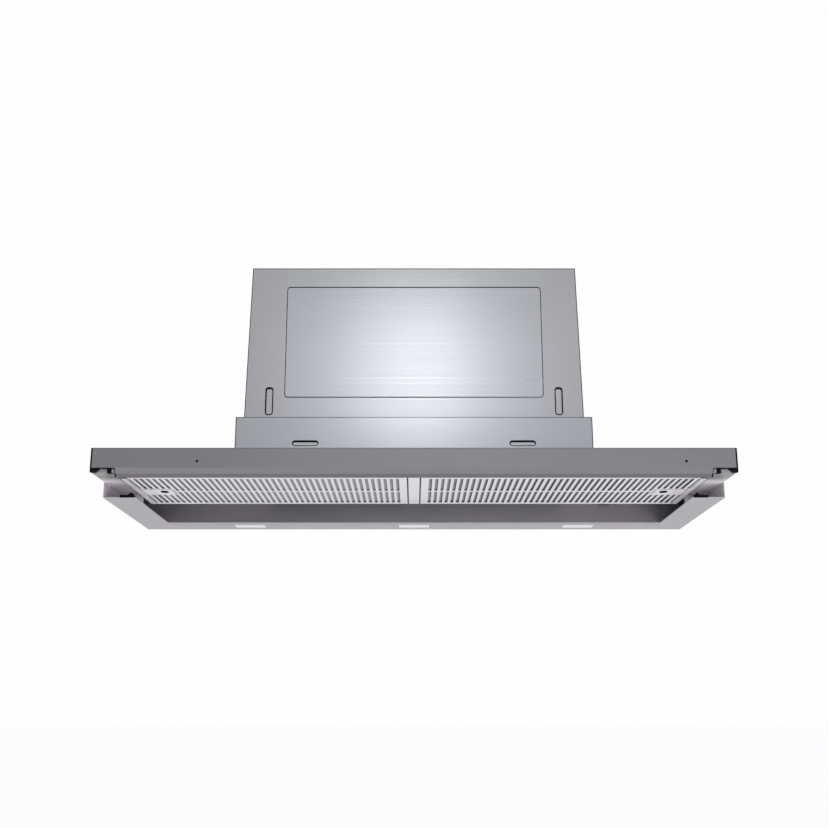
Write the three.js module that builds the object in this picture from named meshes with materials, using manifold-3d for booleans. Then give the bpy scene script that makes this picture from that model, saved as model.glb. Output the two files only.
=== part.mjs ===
import * as THREE from 'three';
import { mergeVertices } from 'three/addons/utils/BufferGeometryUtils.js';
import Module from 'manifold-3d';

// Pull-out range hood for a 90 cm cabinet, drawer shown partly open.
// Millimetres. X to the right, Y to the back, Z up. Heights count from the tray's
// top, which bears on the cabinet's underside; the finished pieces are then
// lowered, so that the origin lies in the middle of the plenum's back.

const wasm = await Module();
wasm.setup();

// ---------- driving sizes ----------
const GAP = 0.3; // between pieces that touch
const SHEET = 0.8; // steel sheet of tray, plenum, housing and drawer
const BRACKET_SHEET = 1.5;
const CUT = 1; // how far a cutter reaches past what it cuts

// tray
const HOOD_WIDTH = 898;
const HOOD_DEPTH = 290;
const TRAY_HEIGHT = 41;
const SIDE_LEDGE = 47; // underside beside the opening
const LIGHT_BOX_DEPTH = 66;
const LIGHT_BOX_LIP = 10;
const LIGHT_BOX_DROP = 8; // below the tray's top
const SEAT_DEPTH = 0.3; // step in the tray's top, in which the plenum sits
const RAIL_HEIGHT = 7;
const RAIL_SHEET = 1.2;
const RAIL_FOOT = 17;
const RAIL_SETBACK = 55; // behind the tray's front
const RAIL_END_GAP = 9; // before the light box
const PAD_WIDTH = 20.4;
const PAD_INSET = 2; // from the opening's edge
const PAD_LIP = 2; // ahead of the tray's front
const PAD_REACH = 9;
const PAD_THICK = 2.6;

// lamps
const LAMP_PITCH = 272;
const LAMP_WIDTH = 50;
const LAMP_DEPTH = 28;
const LAMP_BACK = 18;
const LENS_RIM = 4;
const LENS_WALL = 2;
const LENS_FLANGE = 1.6;
const LENS_HEIGHT = 6;
const BOARD_RIM = 3.5;
const BOARD_THICK = 2.4;
const BOARD_HEIGHT = 9;
const FIN_PITCH = 8;
const FIN_THICK = 1.6;

// plenum and housing
const ORIGIN_HEIGHT = 40; // of the origin above the tray's top
const NICHE_WIDTH = 524;
const PLENUM_TOP = 79.4;
const INTAKE_MARGIN = 22;
const FOLD = 12; // folded edges of plenum and housing
const FOLD_STEP = 4; // plenum's top opening behind the housing's fold
const HOUSING_DEPTH = 215;
const HOUSING_HEIGHT = 264.3;
const HOUSING_TAPER = 5.5; // on each side
const EMBOSS_HALF = 200;
const EMBOSS_ABOVE_FOOT = 51.3;
const EMBOSS_BELOW_TOP = 32;
const EMBOSS_RADIUS = 5;
const EMBOSS_RISE = 1.5;
const CLAMP_SLOT_INSET = 38.2; // upright slots in the front panel
const CLAMP_SLOT_WIDTH = 10.6;
const CLAMP_SLOT_LENGTH = 42.8;
const CLAMP_SLOT_ABOVE_FOOT = 22.9;
const CLAMP_SLOT_RADIUS = 4;
const CLAMP_PLATE_MARGIN = 10;
const FOOT_SLOT_X = 159; // level slots in the plenum
const FOOT_SLOT_DROP = 40; // below the plenum's top
const FOOT_SLOT_LENGTH = 37.4;
const FOOT_SLOT_HEIGHT = 7.8;
const FOOT_PLATE_MARGIN = 10;
const BRACKET_FOOT = 18;

// outlet
const COLLAR_RADIUS = 75;
const COLLAR_WALL = 1.4;
const COLLAR_RISE = 15; // above the housing
const COLLAR_FLANGE = 12;
const COLLAR_BACK = 13; // from the flange to the housing's back
const COLLAR_LEDGE = 3; // that the flaps close on
const FLAP_RISE = 5; // of the flaps' pin above the housing
const FLAP_THICK = 1.2;
const FLAP_CLEARANCE = 1.2;
const PIN_RADIUS = 1.5;
const KNUCKLE_RADIUS = 3.2;
const KNUCKLE_HALF = 18; // of the middle knuckle's length
const KNUCKLE_END = 62;
const GLAND_X = 190;
const GLAND_Y = -40;
const GLAND_NECK = 8;
const GLAND_BORE = 4.5;
const GLAND_NUT = 11;
const GLAND_HEAD = 12;
const GLAND_RISE = 14;

// fan
const FAN_FRONT = 97; // from the housing's front to the shaft
const FAN_ABOVE_FOOT = 105.3;
const FAN_RADIUS = 66;
const FAN_HALF_WIDTH = 52;
const FAN_RIM = 10;
const FAN_BLADES = 24;
const BLADE_CHORD = 8.6;
const BLADE_THICK = 1.2;
const BLADE_PITCH = 35; // degrees
const HUB_RADIUS = 11;
const HUB_LENGTH = 10;
const DISC_THICK = 2;
const SCROLL_WALL = 2;
const SCROLL_SIDE_GAP = 13; // from the impeller's end to the scroll's side
const SCROLL_TIGHT = 6; // from the impeller to the wall at the tongue
const SCROLL_WIDE = 34; // and at the outlet
const SCROLL_FRONT_INSET = 42;
const SCROLL_BACK_INSET = 36;
const INLET_LAP = 16; // of the scroll's side over the impeller
const MOTOR_RADIUS = 36;
const MOTOR_END_GAP = 14; // from the impeller's disc
const MOTOR_NOSE = 14;
const SHAFT_RADIUS = 4;
const SHAFT_END = 14;
const BRACKET_THICK = 2;
const BRACKET_HUB = 24;
const BRACKET_ARM = 60;
const BRACKET_ARM_WIDTH = 12;

// electrics
const CAPACITOR_X = 120;
const CAPACITOR_RADIUS = 15;
const CAPACITOR_LENGTH = 60;
const CAPACITOR_ABOVE_FOOT = 40.3;
const CHAMFER = 1.5;
const CASE_X = 110;
const CASE_WIDTH = 116;
const CASE_HEIGHT = 90;
const CASE_BELOW_TOP = 44;
const CASE_DEPTH = 34;
const CASE_LID = 4;
const CASE_RADIUS = 6;
const SENSOR_INSET = 149; // from the hood's side
const SENSOR_WIDTH = 22;
const SENSOR_DEPTH = 9;
const SENSOR_HEIGHT = 9;

// drawer; heights are above the tray's underside
const DRAWER_OPEN = 50; // how far the drawer is out at rest
const BAR_CLEARANCE = 1; // from the tray when the drawer is in
const BAR_DEPTH = 24.7;
const BAR_HEIGHT = 28.3;
const BAR_SHEET = 1;
const BAR_BEVEL = 0.6;
const BAR_HOLE_LEFT_INSET = 148; // from the hood's side
const BAR_HOLE_RIGHT_INSET = 71;
const BAR_HOLE_ABOVE_FOOT = 9.2;
const BAR_HOLE_RADIUS = 1.9;
const CAP_THICK = 2;
const CAP_FOOT_WIDTH = 12.5;
const CAP_FOOT_SLOPE = 4.8;
const CAP_FOOT_DEPTH = 8;
const CAP_PLUG = 8;
const FILTER_HEIGHT = 17;
const ARM_ABOVE_FILTER = 5;
const BAR_ABOVE_ARM = 6;
const SCREEN_DROP = 2.7; // below the tray's top
const ARM_LEDGE = 11; // lip beside the filters
const ARM_SETBACK = 3.7; // behind the bar's front
const ARM_LENGTH = 166;
const ARM_LIP = 4.3;
const ARM_WEB_INSET = 18;
const ARM_WEB_END = 240; // from the arm's front
const ARM_SHOULDER = 6;
const BUFFER_WIDTH = 7;
const BUFFER_LENGTH = 8;
const BUFFER_INSET = 6; // from the arm's lip to the buffer
const BUFFER_PROUD = 0.8;
const RUNNER_FRONT_INSET = 2;
const RUNNER_END_GAP = 4; // before the light box
const RUNNER_ABOVE_ARM = 2;
const RUNNER_DROP = 3; // below the tray's top
const RUNNER_WIDTH = 11.5;
const RUNNER_SHEET = 1.2;

// grease filters
const FILTER_SETBACK = 16.3; // behind the bar's front
const FILTER_DEPTH = 202.2;
const FILTER_INNER = 10;
const FILTER_SIDE_GAP = 0.5;
const FILTER_RIM = 8;
const FILTER_PAD_HEIGHT = 5.9;
const STRIP_HALF = 9;
const SEAM = 0.4; // between filters and rails
const SLOT_FIRST = 21.2;
const SLOT_PITCH = 8.78;
const SLOT_WIDTH = 4.5;
const ROW_FRONT_MARGIN = 7.9;
const ROW_FRONT_LENGTH = 89.4;
const ROW_SPACING = 6.3;
const ROW_BACK_MARGIN = 10.2;
const LATCH_WIDTH = 40.9;
const LATCH_LENGTH = 38.4;
const LATCH_SETBACK = 85; // behind the filter's front
const LATCH_MARGIN = 4;
const LATCH_FLANGE = 2;
const LATCH_TRAVEL = 4;
const LATCH_END = 2.3; // from the latch's window to the filter's side
const BOLT_START = 9.4;
const BOLT_WIDTH = 17;
const FINGER_INSET = 12;
const FINGER_SETBACK = 18.4;
const FINGER_WIDTH = 11;
const FINGER_LENGTH = 16;
const FINGER_RADIUS = 5;

// controls
const BUTTON_INSET = 74; // from the hood's side to the last button
const BUTTON_PITCH = 30;
const BUTTON_COUNT = 4;
const BUTTON_LENGTH = 15.2;
const BUTTON_WIDTH = 7.4;
const BUTTON_RISE = 1.6;
const BUTTON_FLANGE = 1.1;
const BUTTON_GAP = 0.4;
const STRIP_END = 22; // from the outer buttons to the strip's ends
const STRIP_FRONT_INSET = 5.7;
const STRIP_BACK_INSET = 5;
const STRIP_DEPTH = 8;
const STRIP_SKIN = 1.5;
const STRIP_FLANGE = 2;

// ---------- values that follow ----------
const HALF = HOOD_WIDTH / 2;
const FRONT = -HOOD_DEPTH;
const OPENING_HALF = HALF - SIDE_LEDGE;
const LAMP_Y0 = -LAMP_BACK - LAMP_DEPTH;
const LAMP_Y1 = -LAMP_BACK;
const LAMP_CENTRES = [['left', -LAMP_PITCH], ['centre', 0], ['right', LAMP_PITCH]];
const NICHE_HALF = NICHE_WIDTH / 2;
const INTAKE_HALF = NICHE_HALF - INTAKE_MARGIN;
const HOUSING_FRONT = -HOUSING_DEPTH;
const HOUSING_FOOT = PLENUM_TOP + GAP;
const BODY_TOP = HOUSING_FOOT + HOUSING_HEIGHT;
const EMBOSS_LOW = HOUSING_FOOT + EMBOSS_ABOVE_FOOT;
const EMBOSS_HIGH = BODY_TOP - EMBOSS_BELOW_TOP;
const CLAMP_SLOT_X = NICHE_HALF - CLAMP_SLOT_INSET;
const CLAMP_SLOT_LOW = HOUSING_FOOT + CLAMP_SLOT_ABOVE_FOOT;
const CLAMP_SLOT_HIGH = CLAMP_SLOT_LOW + CLAMP_SLOT_LENGTH;
const FOOT_SLOT_Z = PLENUM_TOP - FOOT_SLOT_DROP;
const COLLAR_Y = -COLLAR_BACK - COLLAR_FLANGE - COLLAR_RADIUS;
const COLLAR_INSIDE = COLLAR_RADIUS - COLLAR_WALL;
const COLLAR_TOP = BODY_TOP + COLLAR_RISE;
const FLAP_Z = BODY_TOP + FLAP_RISE;
const FAN_Y = HOUSING_FRONT + FAN_FRONT;
const FAN_Z = HOUSING_FOOT + FAN_ABOVE_FOOT;
const SCROLL_HALF_WIDTH = FAN_HALF_WIDTH + SCROLL_SIDE_GAP;
const SCROLL_TOP = BODY_TOP - SHEET - GAP;
const BAR_BACK = FRONT - BAR_CLEARANCE - DRAWER_OPEN;
const BAR_FRONT = BAR_BACK - BAR_DEPTH;
const BAR_HALF = HALF - CAP_THICK - GAP;
const ARM_HEIGHT = FILTER_HEIGHT + ARM_ABOVE_FILTER;
const BAR_LOW = ARM_HEIGHT + BAR_ABOVE_ARM;
const BAR_HIGH = BAR_LOW + BAR_HEIGHT;
const SCREEN_HEIGHT = TRAY_HEIGHT - SCREEN_DROP;
const ARM_FRONT = BAR_FRONT + ARM_SETBACK;
const ARM_BACK = ARM_FRONT + ARM_LENGTH;
const ARM_WEB = HALF - ARM_WEB_INSET;
const RUNNER_FRONT = FRONT + RUNNER_FRONT_INSET;
const RUNNER_LENGTH = -LIGHT_BOX_DEPTH - RUNNER_END_GAP - RUNNER_FRONT;
const RUNNER_LOW = ARM_HEIGHT + RUNNER_ABOVE_ARM;
const RUNNER_HIGH = TRAY_HEIGHT - RUNNER_DROP;
const RUNNER_OUT = HALF - SHEET - GAP;
const FILTER_OUTER = OPENING_HALF - FILTER_SIDE_GAP;
const FILTER_BORDER = OPENING_HALF + ARM_LEDGE;
const FILTER_FRONT = BAR_FRONT + FILTER_SETBACK;
const FILTER_BACK = FILTER_FRONT + FILTER_DEPTH;
const ROW_FRONT_START = FILTER_FRONT + ROW_FRONT_MARGIN;
const ROW_FRONT_END = ROW_FRONT_START + ROW_FRONT_LENGTH;
const ROW_BACK_START = ROW_FRONT_END + ROW_SPACING;
const ROW_BACK_END = FILTER_BACK - ROW_BACK_MARGIN;
const SLOT_COUNT = Math.floor((FILTER_OUTER - SLOT_FIRST) / SLOT_PITCH) + 1;
const LATCH_WINDOW_END = FILTER_OUTER - LATCH_END;
const LATCH_INNER = LATCH_WINDOW_END - GAP - LATCH_WIDTH;
const LATCH_FRONT = FILTER_FRONT + LATCH_SETBACK;
const LATCH_BACK = LATCH_FRONT + LATCH_LENGTH;
const BOLT_FRONT = LATCH_FRONT + BOLT_START;
const BOLT_BACK = BOLT_FRONT + BOLT_WIDTH;
const FINGER_X = LATCH_INNER + FINGER_INSET;
const FINGER_Y = LATCH_FRONT + FINGER_SETBACK;
const SENSOR_X = HALF - SENSOR_INSET;
const BUTTON_LAST = HALF - BUTTON_INSET;
const BUTTON_FIRST = BUTTON_LAST - BUTTON_PITCH * (BUTTON_COUNT - 1);
const STRIP_LEFT = BUTTON_FIRST - STRIP_END;
const STRIP_RIGHT = BUTTON_LAST + STRIP_END;
const STRIP_FRONT = BAR_FRONT + STRIP_FRONT_INSET;
const STRIP_BACK = BAR_BACK - STRIP_BACK_INSET;
const BUTTON_Y = (STRIP_FRONT + STRIP_BACK) / 2;
const up = (height) => height - TRAY_HEIGHT;

// ---------- helpers ----------
function solidOf(geometry) {
  const bare = new THREE.BufferGeometry();
  bare.setAttribute('position', geometry.getAttribute('position').clone());
  if (geometry.index) bare.setIndex(geometry.index.clone());
  const merged = mergeVertices(bare, 1e-4);
  const mesh = new wasm.Mesh({
    numProp: 3,
    vertProperties: new Float32Array(merged.getAttribute('position').array),
    triVerts: new Uint32Array(merged.index.array),
  });
  return new wasm.Manifold(mesh);
}

function geometryOf(solid) {
  const mesh = solid.getMesh();
  const geometry = new THREE.BufferGeometry();
  const stride = mesh.numProp;
  const count = mesh.vertProperties.length / stride;
  const points = new Float32Array(count * 3);
  for (let i = 0; i < count; i += 1) {
    points[3 * i] = mesh.vertProperties[stride * i];
    points[3 * i + 1] = mesh.vertProperties[stride * i + 1];
    points[3 * i + 2] = mesh.vertProperties[stride * i + 2];
  }
  geometry.setAttribute('position', new THREE.BufferAttribute(points, 3));
  geometry.setIndex(new THREE.BufferAttribute(new Uint32Array(mesh.triVerts), 1));
  geometry.translate(0, 0, -ORIGIN_HEIGHT);
  geometry.computeVertexNormals();
  return geometry;
}

function block(x0, x1, y0, y1, z0, z1) {
  const geometry = new THREE.BoxGeometry(x1 - x0, y1 - y0, z1 - z0);
  geometry.translate((x0 + x1) / 2, (y0 + y1) / 2, (z0 + z1) / 2);
  return solidOf(geometry);
}

function shapeOf(points, holes = []) {
  const shape = new THREE.Shape(points.map(([a, b]) => new THREE.Vector2(a, b)));
  for (const hole of holes) {
    shape.holes.push(new THREE.Path(hole.map(([a, b]) => new THREE.Vector2(a, b))));
  }
  return shape;
}

// outline given as x and y, raised along Z
function raised(points, low, high, holes = []) {
  const geometry = new THREE.ExtrudeGeometry(shapeOf(points, holes), {
    depth: high - low,
    bevelEnabled: false,
  });
  geometry.translate(0, 0, low);
  return solidOf(geometry);
}

// outline given as x and z, drawn out along Y
function alongY(points, near, far, holes = []) {
  const geometry = new THREE.ExtrudeGeometry(shapeOf(points, holes), {
    depth: far - near,
    bevelEnabled: false,
  });
  geometry.rotateX(Math.PI / 2);
  geometry.translate(0, far, 0);
  return solidOf(geometry);
}

// outline given as y and z, drawn out along X
function alongX(points, left, right, holes = []) {
  const geometry = new THREE.ExtrudeGeometry(shapeOf(points, holes), {
    depth: right - left,
    bevelEnabled: false,
  });
  geometry.rotateY(Math.PI / 2);
  geometry.rotateX(Math.PI / 2);
  geometry.translate(left, 0, 0);
  return solidOf(geometry);
}

function rect(a0, a1, b0, b1) {
  return [[a0, b0], [a1, b0], [a1, b1], [a0, b1]];
}

function rounded(a0, a1, b0, b1, radius, steps = 3) {
  const corners = [
    [a1 - radius, b0 + radius, -90],
    [a1 - radius, b1 - radius, 0],
    [a0 + radius, b1 - radius, 90],
    [a0 + radius, b0 + radius, 180],
  ];
  const points = [];
  for (const [a, b, start] of corners) {
    for (let i = 0; i <= steps; i += 1) {
      const angle = THREE.MathUtils.degToRad(start + (90 * i) / steps);
      points.push([a + radius * Math.cos(angle), b + radius * Math.sin(angle)]);
    }
  }
  return points;
}

function circle(a, b, radius, sides) {
  const points = [];
  for (let i = 0; i < sides; i += 1) {
    const angle = (2 * Math.PI * i) / sides;
    points.push([a + radius * Math.cos(angle), b + radius * Math.sin(angle)]);
  }
  return points;
}

// profile of radius and height turned about a standing axis
function turned(profile, x, y, sides) {
  const points = profile.map(([radius, height]) => new THREE.Vector2(radius, height));
  points.push(points[0].clone());
  const geometry = new THREE.LatheGeometry(points, sides);
  geometry.rotateX(Math.PI / 2);
  geometry.translate(x, y, 0);
  return solidOf(geometry);
}

function joined(first, ...others) {
  return others.reduce((whole, piece) => whole.add(piece), first);
}

function cut(first, ...others) {
  return others.reduce((whole, piece) => whole.subtract(piece), first);
}

const root = new THREE.Group();
root.name = 'pull_out_hood';

function material(color, roughness, metalness) {
  return new THREE.MeshStandardMaterial({ color, roughness, metalness });
}

const materials = {
  body: material(0xa9acb2, 0.35, 0.8),
  bright: material(0xbfc1c7, 0.3, 0.8),
  tray: material(0xa7a6a8, 0.4, 0.7),
  bar: material(0x828387, 0.35, 0.8),
  filter: material(0xd2d0d6, 0.35, 0.8),
  dark: material(0x5f5d62, 0.5, 0.6),
  zinc: material(0x9fa2a6, 0.45, 0.8),
  black: material(0x111113, 0.5, 0),
  plastic: material(0x3a3b3e, 0.6, 0),
  lens: material(0xece9f1, 0.3, 0),
  motor: material(0x7d7f84, 0.45, 0.7),
  mesh: material(0x737378, 0.6, 0.5),
};

function add(name, solid, slot) {
  const mesh = new THREE.Mesh(geometryOf(solid), materials[slot]);
  mesh.name = name;
  root.add(mesh);
}

// a pair of mirrored pieces, made once for the right-hand side
function addPair(name, right, slot) {
  add(`${name}_right`, right, slot);
  const geometry = geometryOf(right);
  const position = geometry.getAttribute('position');
  for (let i = 0; i < position.count; i += 1) position.setX(i, -position.getX(i));
  const index = geometry.index.array;
  for (let i = 0; i < index.length; i += 3) {
    const kept = index[i];
    index[i] = index[i + 1];
    index[i + 1] = kept;
  }
  geometry.computeVertexNormals();
  const mesh = new THREE.Mesh(geometry, materials[slot]);
  mesh.name = `${name}_left`;
  root.add(mesh);
}

// ---------- tray ----------
function tray() {
  const low = up(0);
  const windows = LAMP_CENTRES.map(([, x]) => block(
    x - LAMP_WIDTH / 2, x + LAMP_WIDTH / 2, LAMP_Y0, LAMP_Y1, low - CUT, low + SHEET + CUT));
  return cut(
    block(-HALF, HALF, FRONT, 0, low, 0),
    block(-HALF + SHEET, HALF - SHEET, FRONT - CUT, -SHEET, low + SHEET, -SHEET),
    block(-OPENING_HALF, OPENING_HALF, FRONT - CUT, -LIGHT_BOX_DEPTH, low - CUT, low + SHEET + CUT),
    block(-NICHE_HALF - GAP, NICHE_HALF + GAP, FRONT - CUT, CUT, -SEAT_DEPTH, CUT),
    block(-INTAKE_HALF, INTAKE_HALF, FRONT + INTAKE_MARGIN, -INTAKE_MARGIN, -SHEET - CUT, CUT),
    ...windows,
  );
}

function lightBox() {
  const front = -LIGHT_BOX_DEPTH;
  const back = -SHEET - GAP;
  const foot = up(SHEET + GAP);
  const high = -LIGHT_BOX_DROP;
  const profile = [
    [front, foot],
    [front + LIGHT_BOX_LIP, foot],
    [front + LIGHT_BOX_LIP, foot + SHEET],
    [front + SHEET, foot + SHEET],
    [front + SHEET, high - SHEET],
    [back, high - SHEET],
    [back, high],
    [front, high],
  ];
  return alongX(profile, -HALF + SHEET + GAP, HALF - SHEET - GAP);
}

// outline of a lamp's window, grown all round and rounded
function lampOutline(x, grown, radius) {
  return rounded(
    x - LAMP_WIDTH / 2 - grown, x + LAMP_WIDTH / 2 + grown, LAMP_Y0 - grown, LAMP_Y1 + grown, radius);
}

function lampLens(x) {
  const half = LAMP_WIDTH / 2 - GAP;
  const flange = up(SHEET + GAP);
  const rim = lampOutline(x, LENS_RIM - GAP, LENS_RIM - CUT);
  const inside = lampOutline(x, LENS_RIM - GAP - LENS_WALL, LENS_WALL);
  return joined(
    block(x - half, x + half, LAMP_Y0 + GAP, LAMP_Y1 - GAP, up(0), flange + LENS_FLANGE / 2),
    raised(rim, flange, flange + LENS_FLANGE),
    raised(rim, flange + LENS_FLANGE / 2, flange + LENS_HEIGHT, [inside.slice().reverse()]),
  );
}

function lampBoard(x) {
  const half = LAMP_WIDTH / 2 + BOARD_RIM;
  const low = up(SHEET + GAP) + LENS_HEIGHT + GAP;
  const y0 = LAMP_Y0 - BOARD_RIM;
  const y1 = LAMP_Y1 + BOARD_RIM;
  const fins = [];
  const reach = Math.floor((half - FIN_THICK) / FIN_PITCH);
  for (let i = -reach; i <= reach; i += 1) {
    const middle = x + i * FIN_PITCH;
    fins.push(block(
      middle - FIN_THICK / 2, middle + FIN_THICK / 2, y0, y1, low + BOARD_THICK / 2, low + BOARD_HEIGHT));
  }
  return joined(block(x - half, x + half, y0, y1, low, low + BOARD_THICK), ...fins);
}

// stiffener on the tray's side ledge, which keeps the drawer's arm straight
function guideRail() {
  const inner = FILTER_BORDER + SEAM;
  const foot = up(SHEET + GAP);
  const front = FRONT + RAIL_SETBACK;
  const back = -LIGHT_BOX_DEPTH - RAIL_END_GAP;
  return joined(
    block(inner, inner + RAIL_SHEET, front, back, foot, foot + RAIL_HEIGHT),
    block(inner, inner + RAIL_FOOT, front, back, foot, foot + RAIL_SHEET),
  );
}

function frontPad() {
  const low = up(0);
  const seat = up(SHEET + GAP);
  const profile = [
    [FRONT - PAD_LIP, low],
    [FRONT - GAP, low],
    [FRONT - GAP, seat],
    [FRONT + PAD_REACH, seat],
    [FRONT + PAD_REACH, seat + PAD_THICK],
    [FRONT - PAD_LIP, seat + PAD_THICK],
  ];
  return alongX(profile, OPENING_HALF + PAD_INSET, OPENING_HALF + PAD_INSET + PAD_WIDTH);
}

// ---------- plenum and housing ----------
function plenum() {
  const y = FRONT + SHEET;
  const top = PLENUM_TOP;
  const slot = (x) => alongY(
    rounded(
      x - FOOT_SLOT_LENGTH / 2, x + FOOT_SLOT_LENGTH / 2,
      FOOT_SLOT_Z - FOOT_SLOT_HEIGHT / 2, FOOT_SLOT_Z + FOOT_SLOT_HEIGHT / 2,
      FOOT_SLOT_HEIGHT * 0.499, 4),
    FRONT - CUT, y + CUT);
  return cut(
    block(-NICHE_HALF, NICHE_HALF, FRONT, 0, 0, top),
    block(-NICHE_HALF + SHEET, NICHE_HALF - SHEET, y, -SHEET, SHEET, top - SHEET),
    block(-INTAKE_HALF, INTAKE_HALF, FRONT + INTAKE_MARGIN, -INTAKE_MARGIN, -CUT, SHEET + CUT),
    block(
      -INTAKE_HALF, INTAKE_HALF, HOUSING_FRONT + FOLD + FOLD_STEP, -FOLD - FOLD_STEP,
      top - SHEET - CUT, top + CUT),
    slot(-FOOT_SLOT_X),
    slot(FOOT_SLOT_X),
  );
}

// plate that a cabinet screw bites into, behind each level slot
function footPlate() {
  const y = FRONT + SHEET + GAP;
  const reach = FOOT_SLOT_LENGTH / 2 + FOOT_PLATE_MARGIN;
  const low = SHEET + GAP;
  const high = FOOT_SLOT_Z + FOOT_SLOT_HEIGHT / 2 + FOOT_PLATE_MARGIN;
  const profile = [
    [y, low],
    [y + BRACKET_FOOT, low],
    [y + BRACKET_FOOT, low + BRACKET_SHEET],
    [y + BRACKET_SHEET, low + BRACKET_SHEET],
    [y + BRACKET_SHEET, high],
    [y, high],
  ];
  return alongX(profile, FOOT_SLOT_X - reach, FOOT_SLOT_X + reach);
}

// half the width of the housing at a height
function housingHalf(z) {
  return NICHE_HALF - (HOUSING_TAPER * (z - HOUSING_FOOT)) / HOUSING_HEIGHT;
}

function housingOutline(inset, low, high) {
  return [
    [-housingHalf(low) + inset, low],
    [housingHalf(low) - inset, low],
    [housingHalf(high) - inset, high],
    [-housingHalf(high) + inset, high],
  ];
}

function embossOutline(inset) {
  return rounded(
    -EMBOSS_HALF + inset, EMBOSS_HALF - inset, EMBOSS_LOW + inset, EMBOSS_HIGH - inset,
    EMBOSS_RADIUS - inset);
}

function housingFront() {
  const face = HOUSING_FRONT;
  const slot = (x) => alongY(
    rounded(
      x - CLAMP_SLOT_WIDTH / 2, x + CLAMP_SLOT_WIDTH / 2,
      CLAMP_SLOT_LOW, CLAMP_SLOT_HIGH, CLAMP_SLOT_RADIUS),
    face - CUT, face + SHEET + CUT);
  return cut(
    joined(
      alongY(housingOutline(0, HOUSING_FOOT, BODY_TOP), face, face + SHEET),
      alongY(embossOutline(0), face - EMBOSS_RISE, face + SHEET / 4),
    ),
    alongY(embossOutline(SHEET), face - EMBOSS_RISE + SHEET, face + SHEET + CUT),
    slot(-CLAMP_SLOT_X),
    slot(CLAMP_SLOT_X),
  );
}

function housingWrap() {
  const near = HOUSING_FRONT + SHEET + GAP;
  const low = HOUSING_FOOT;
  const cavity = housingOutline(SHEET, low + SHEET, BODY_TOP - SHEET);
  const mouth = housingOutline(FOLD, low + FOLD, BODY_TOP - FOLD);
  const through = [BODY_TOP - SHEET - CUT, BODY_TOP + CUT];
  return cut(
    alongY(housingOutline(0, low, BODY_TOP), near, 0),
    alongY(cavity, near + SHEET, -SHEET),
    alongY(mouth, near - CUT, near + SHEET + CUT),
    block(-INTAKE_HALF, INTAKE_HALF, near + FOLD, -FOLD, low - CUT, low + SHEET + CUT),
    raised(circle(0, COLLAR_Y, COLLAR_INSIDE, 48), ...through),
    raised(circle(GLAND_X, GLAND_Y, GLAND_NECK + GAP, 16), ...through),
  );
}

// plate that a cabinet screw bites into, behind each upright slot
function clampPlate() {
  const y = HOUSING_FRONT + 2 * (SHEET + GAP);
  const reach = CLAMP_SLOT_WIDTH / 2 + CLAMP_PLATE_MARGIN;
  const low = CLAMP_SLOT_LOW - CLAMP_PLATE_MARGIN;
  const high = CLAMP_SLOT_HIGH + CLAMP_PLATE_MARGIN;
  const profile = [
    [y, low],
    [y + BRACKET_FOOT, low],
    [y + BRACKET_FOOT, low + BRACKET_SHEET],
    [y + BRACKET_SHEET, low + BRACKET_SHEET],
    [y + BRACKET_SHEET, high],
    [y, high],
  ];
  return alongX(profile, CLAMP_SLOT_X - reach, CLAMP_SLOT_X + reach + FOLD / 4);
}

// ---------- outlet ----------
function pinBore() {
  const reach = COLLAR_RADIUS + COLLAR_FLANGE;
  return alongY(circle(0, FLAP_Z, PIN_RADIUS + GAP, 12), COLLAR_Y - reach, COLLAR_Y + reach);
}

function collar() {
  const foot = BODY_TOP + GAP;
  const flange = foot + COLLAR_WALL;
  const ledge = FLAP_Z - FLAP_THICK / 2 - GAP;
  const profile = [
    [COLLAR_INSIDE, foot],
    [COLLAR_RADIUS + COLLAR_FLANGE, foot],
    [COLLAR_RADIUS + COLLAR_FLANGE, flange],
    [COLLAR_RADIUS, flange],
    [COLLAR_RADIUS, COLLAR_TOP],
    [COLLAR_INSIDE, COLLAR_TOP],
    [COLLAR_INSIDE, ledge],
    [COLLAR_INSIDE - COLLAR_LEDGE, ledge],
    [COLLAR_INSIDE - COLLAR_LEDGE, ledge - COLLAR_WALL],
    [COLLAR_INSIDE, ledge - COLLAR_WALL],
  ];
  return cut(turned(profile, 0, COLLAR_Y, 48), pinBore());
}

function flapPin() {
  const reach = COLLAR_RADIUS - GAP;
  return alongY(circle(0, FLAP_Z, PIN_RADIUS, 12), COLLAR_Y - reach, COLLAR_Y + reach);
}

// one half of the flap: the right half has the middle knuckle, the left half the outer two
function flap(side) {
  const radius = COLLAR_INSIDE - FLAP_CLEARANCE;
  const edge = KNUCKLE_RADIUS + 3 * GAP;
  const start = Math.asin(edge / radius);
  const steps = 18;
  const points = [];
  for (let i = 0; i <= steps; i += 1) {
    const angle = -Math.PI / 2 + start + ((Math.PI - 2 * start) * i) / steps;
    points.push([side * radius * Math.cos(angle), COLLAR_Y + radius * Math.sin(angle)]);
  }
  const outline = side > 0 ? points : points.slice().reverse();
  const low = FLAP_Z - FLAP_THICK / 2;
  const high = FLAP_Z + FLAP_THICK / 2;
  const near = KNUCKLE_HALF + CUT;
  const spans = side > 0
    ? [[-KNUCKLE_HALF, KNUCKLE_HALF]]
    : [[-KNUCKLE_END, -near], [near, KNUCKLE_END]];
  const roots = [side * PIN_RADIUS, side * (edge + CUT)].sort((a, b) => a - b);
  const knuckles = spans.flatMap(([from, to]) => [
    alongY(circle(0, FLAP_Z, KNUCKLE_RADIUS, 16), COLLAR_Y + from, COLLAR_Y + to),
    block(...roots, COLLAR_Y + from, COLLAR_Y + to, low, high),
  ]);
  return cut(joined(raised(outline, low, high), ...knuckles), pinBore());
}

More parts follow.
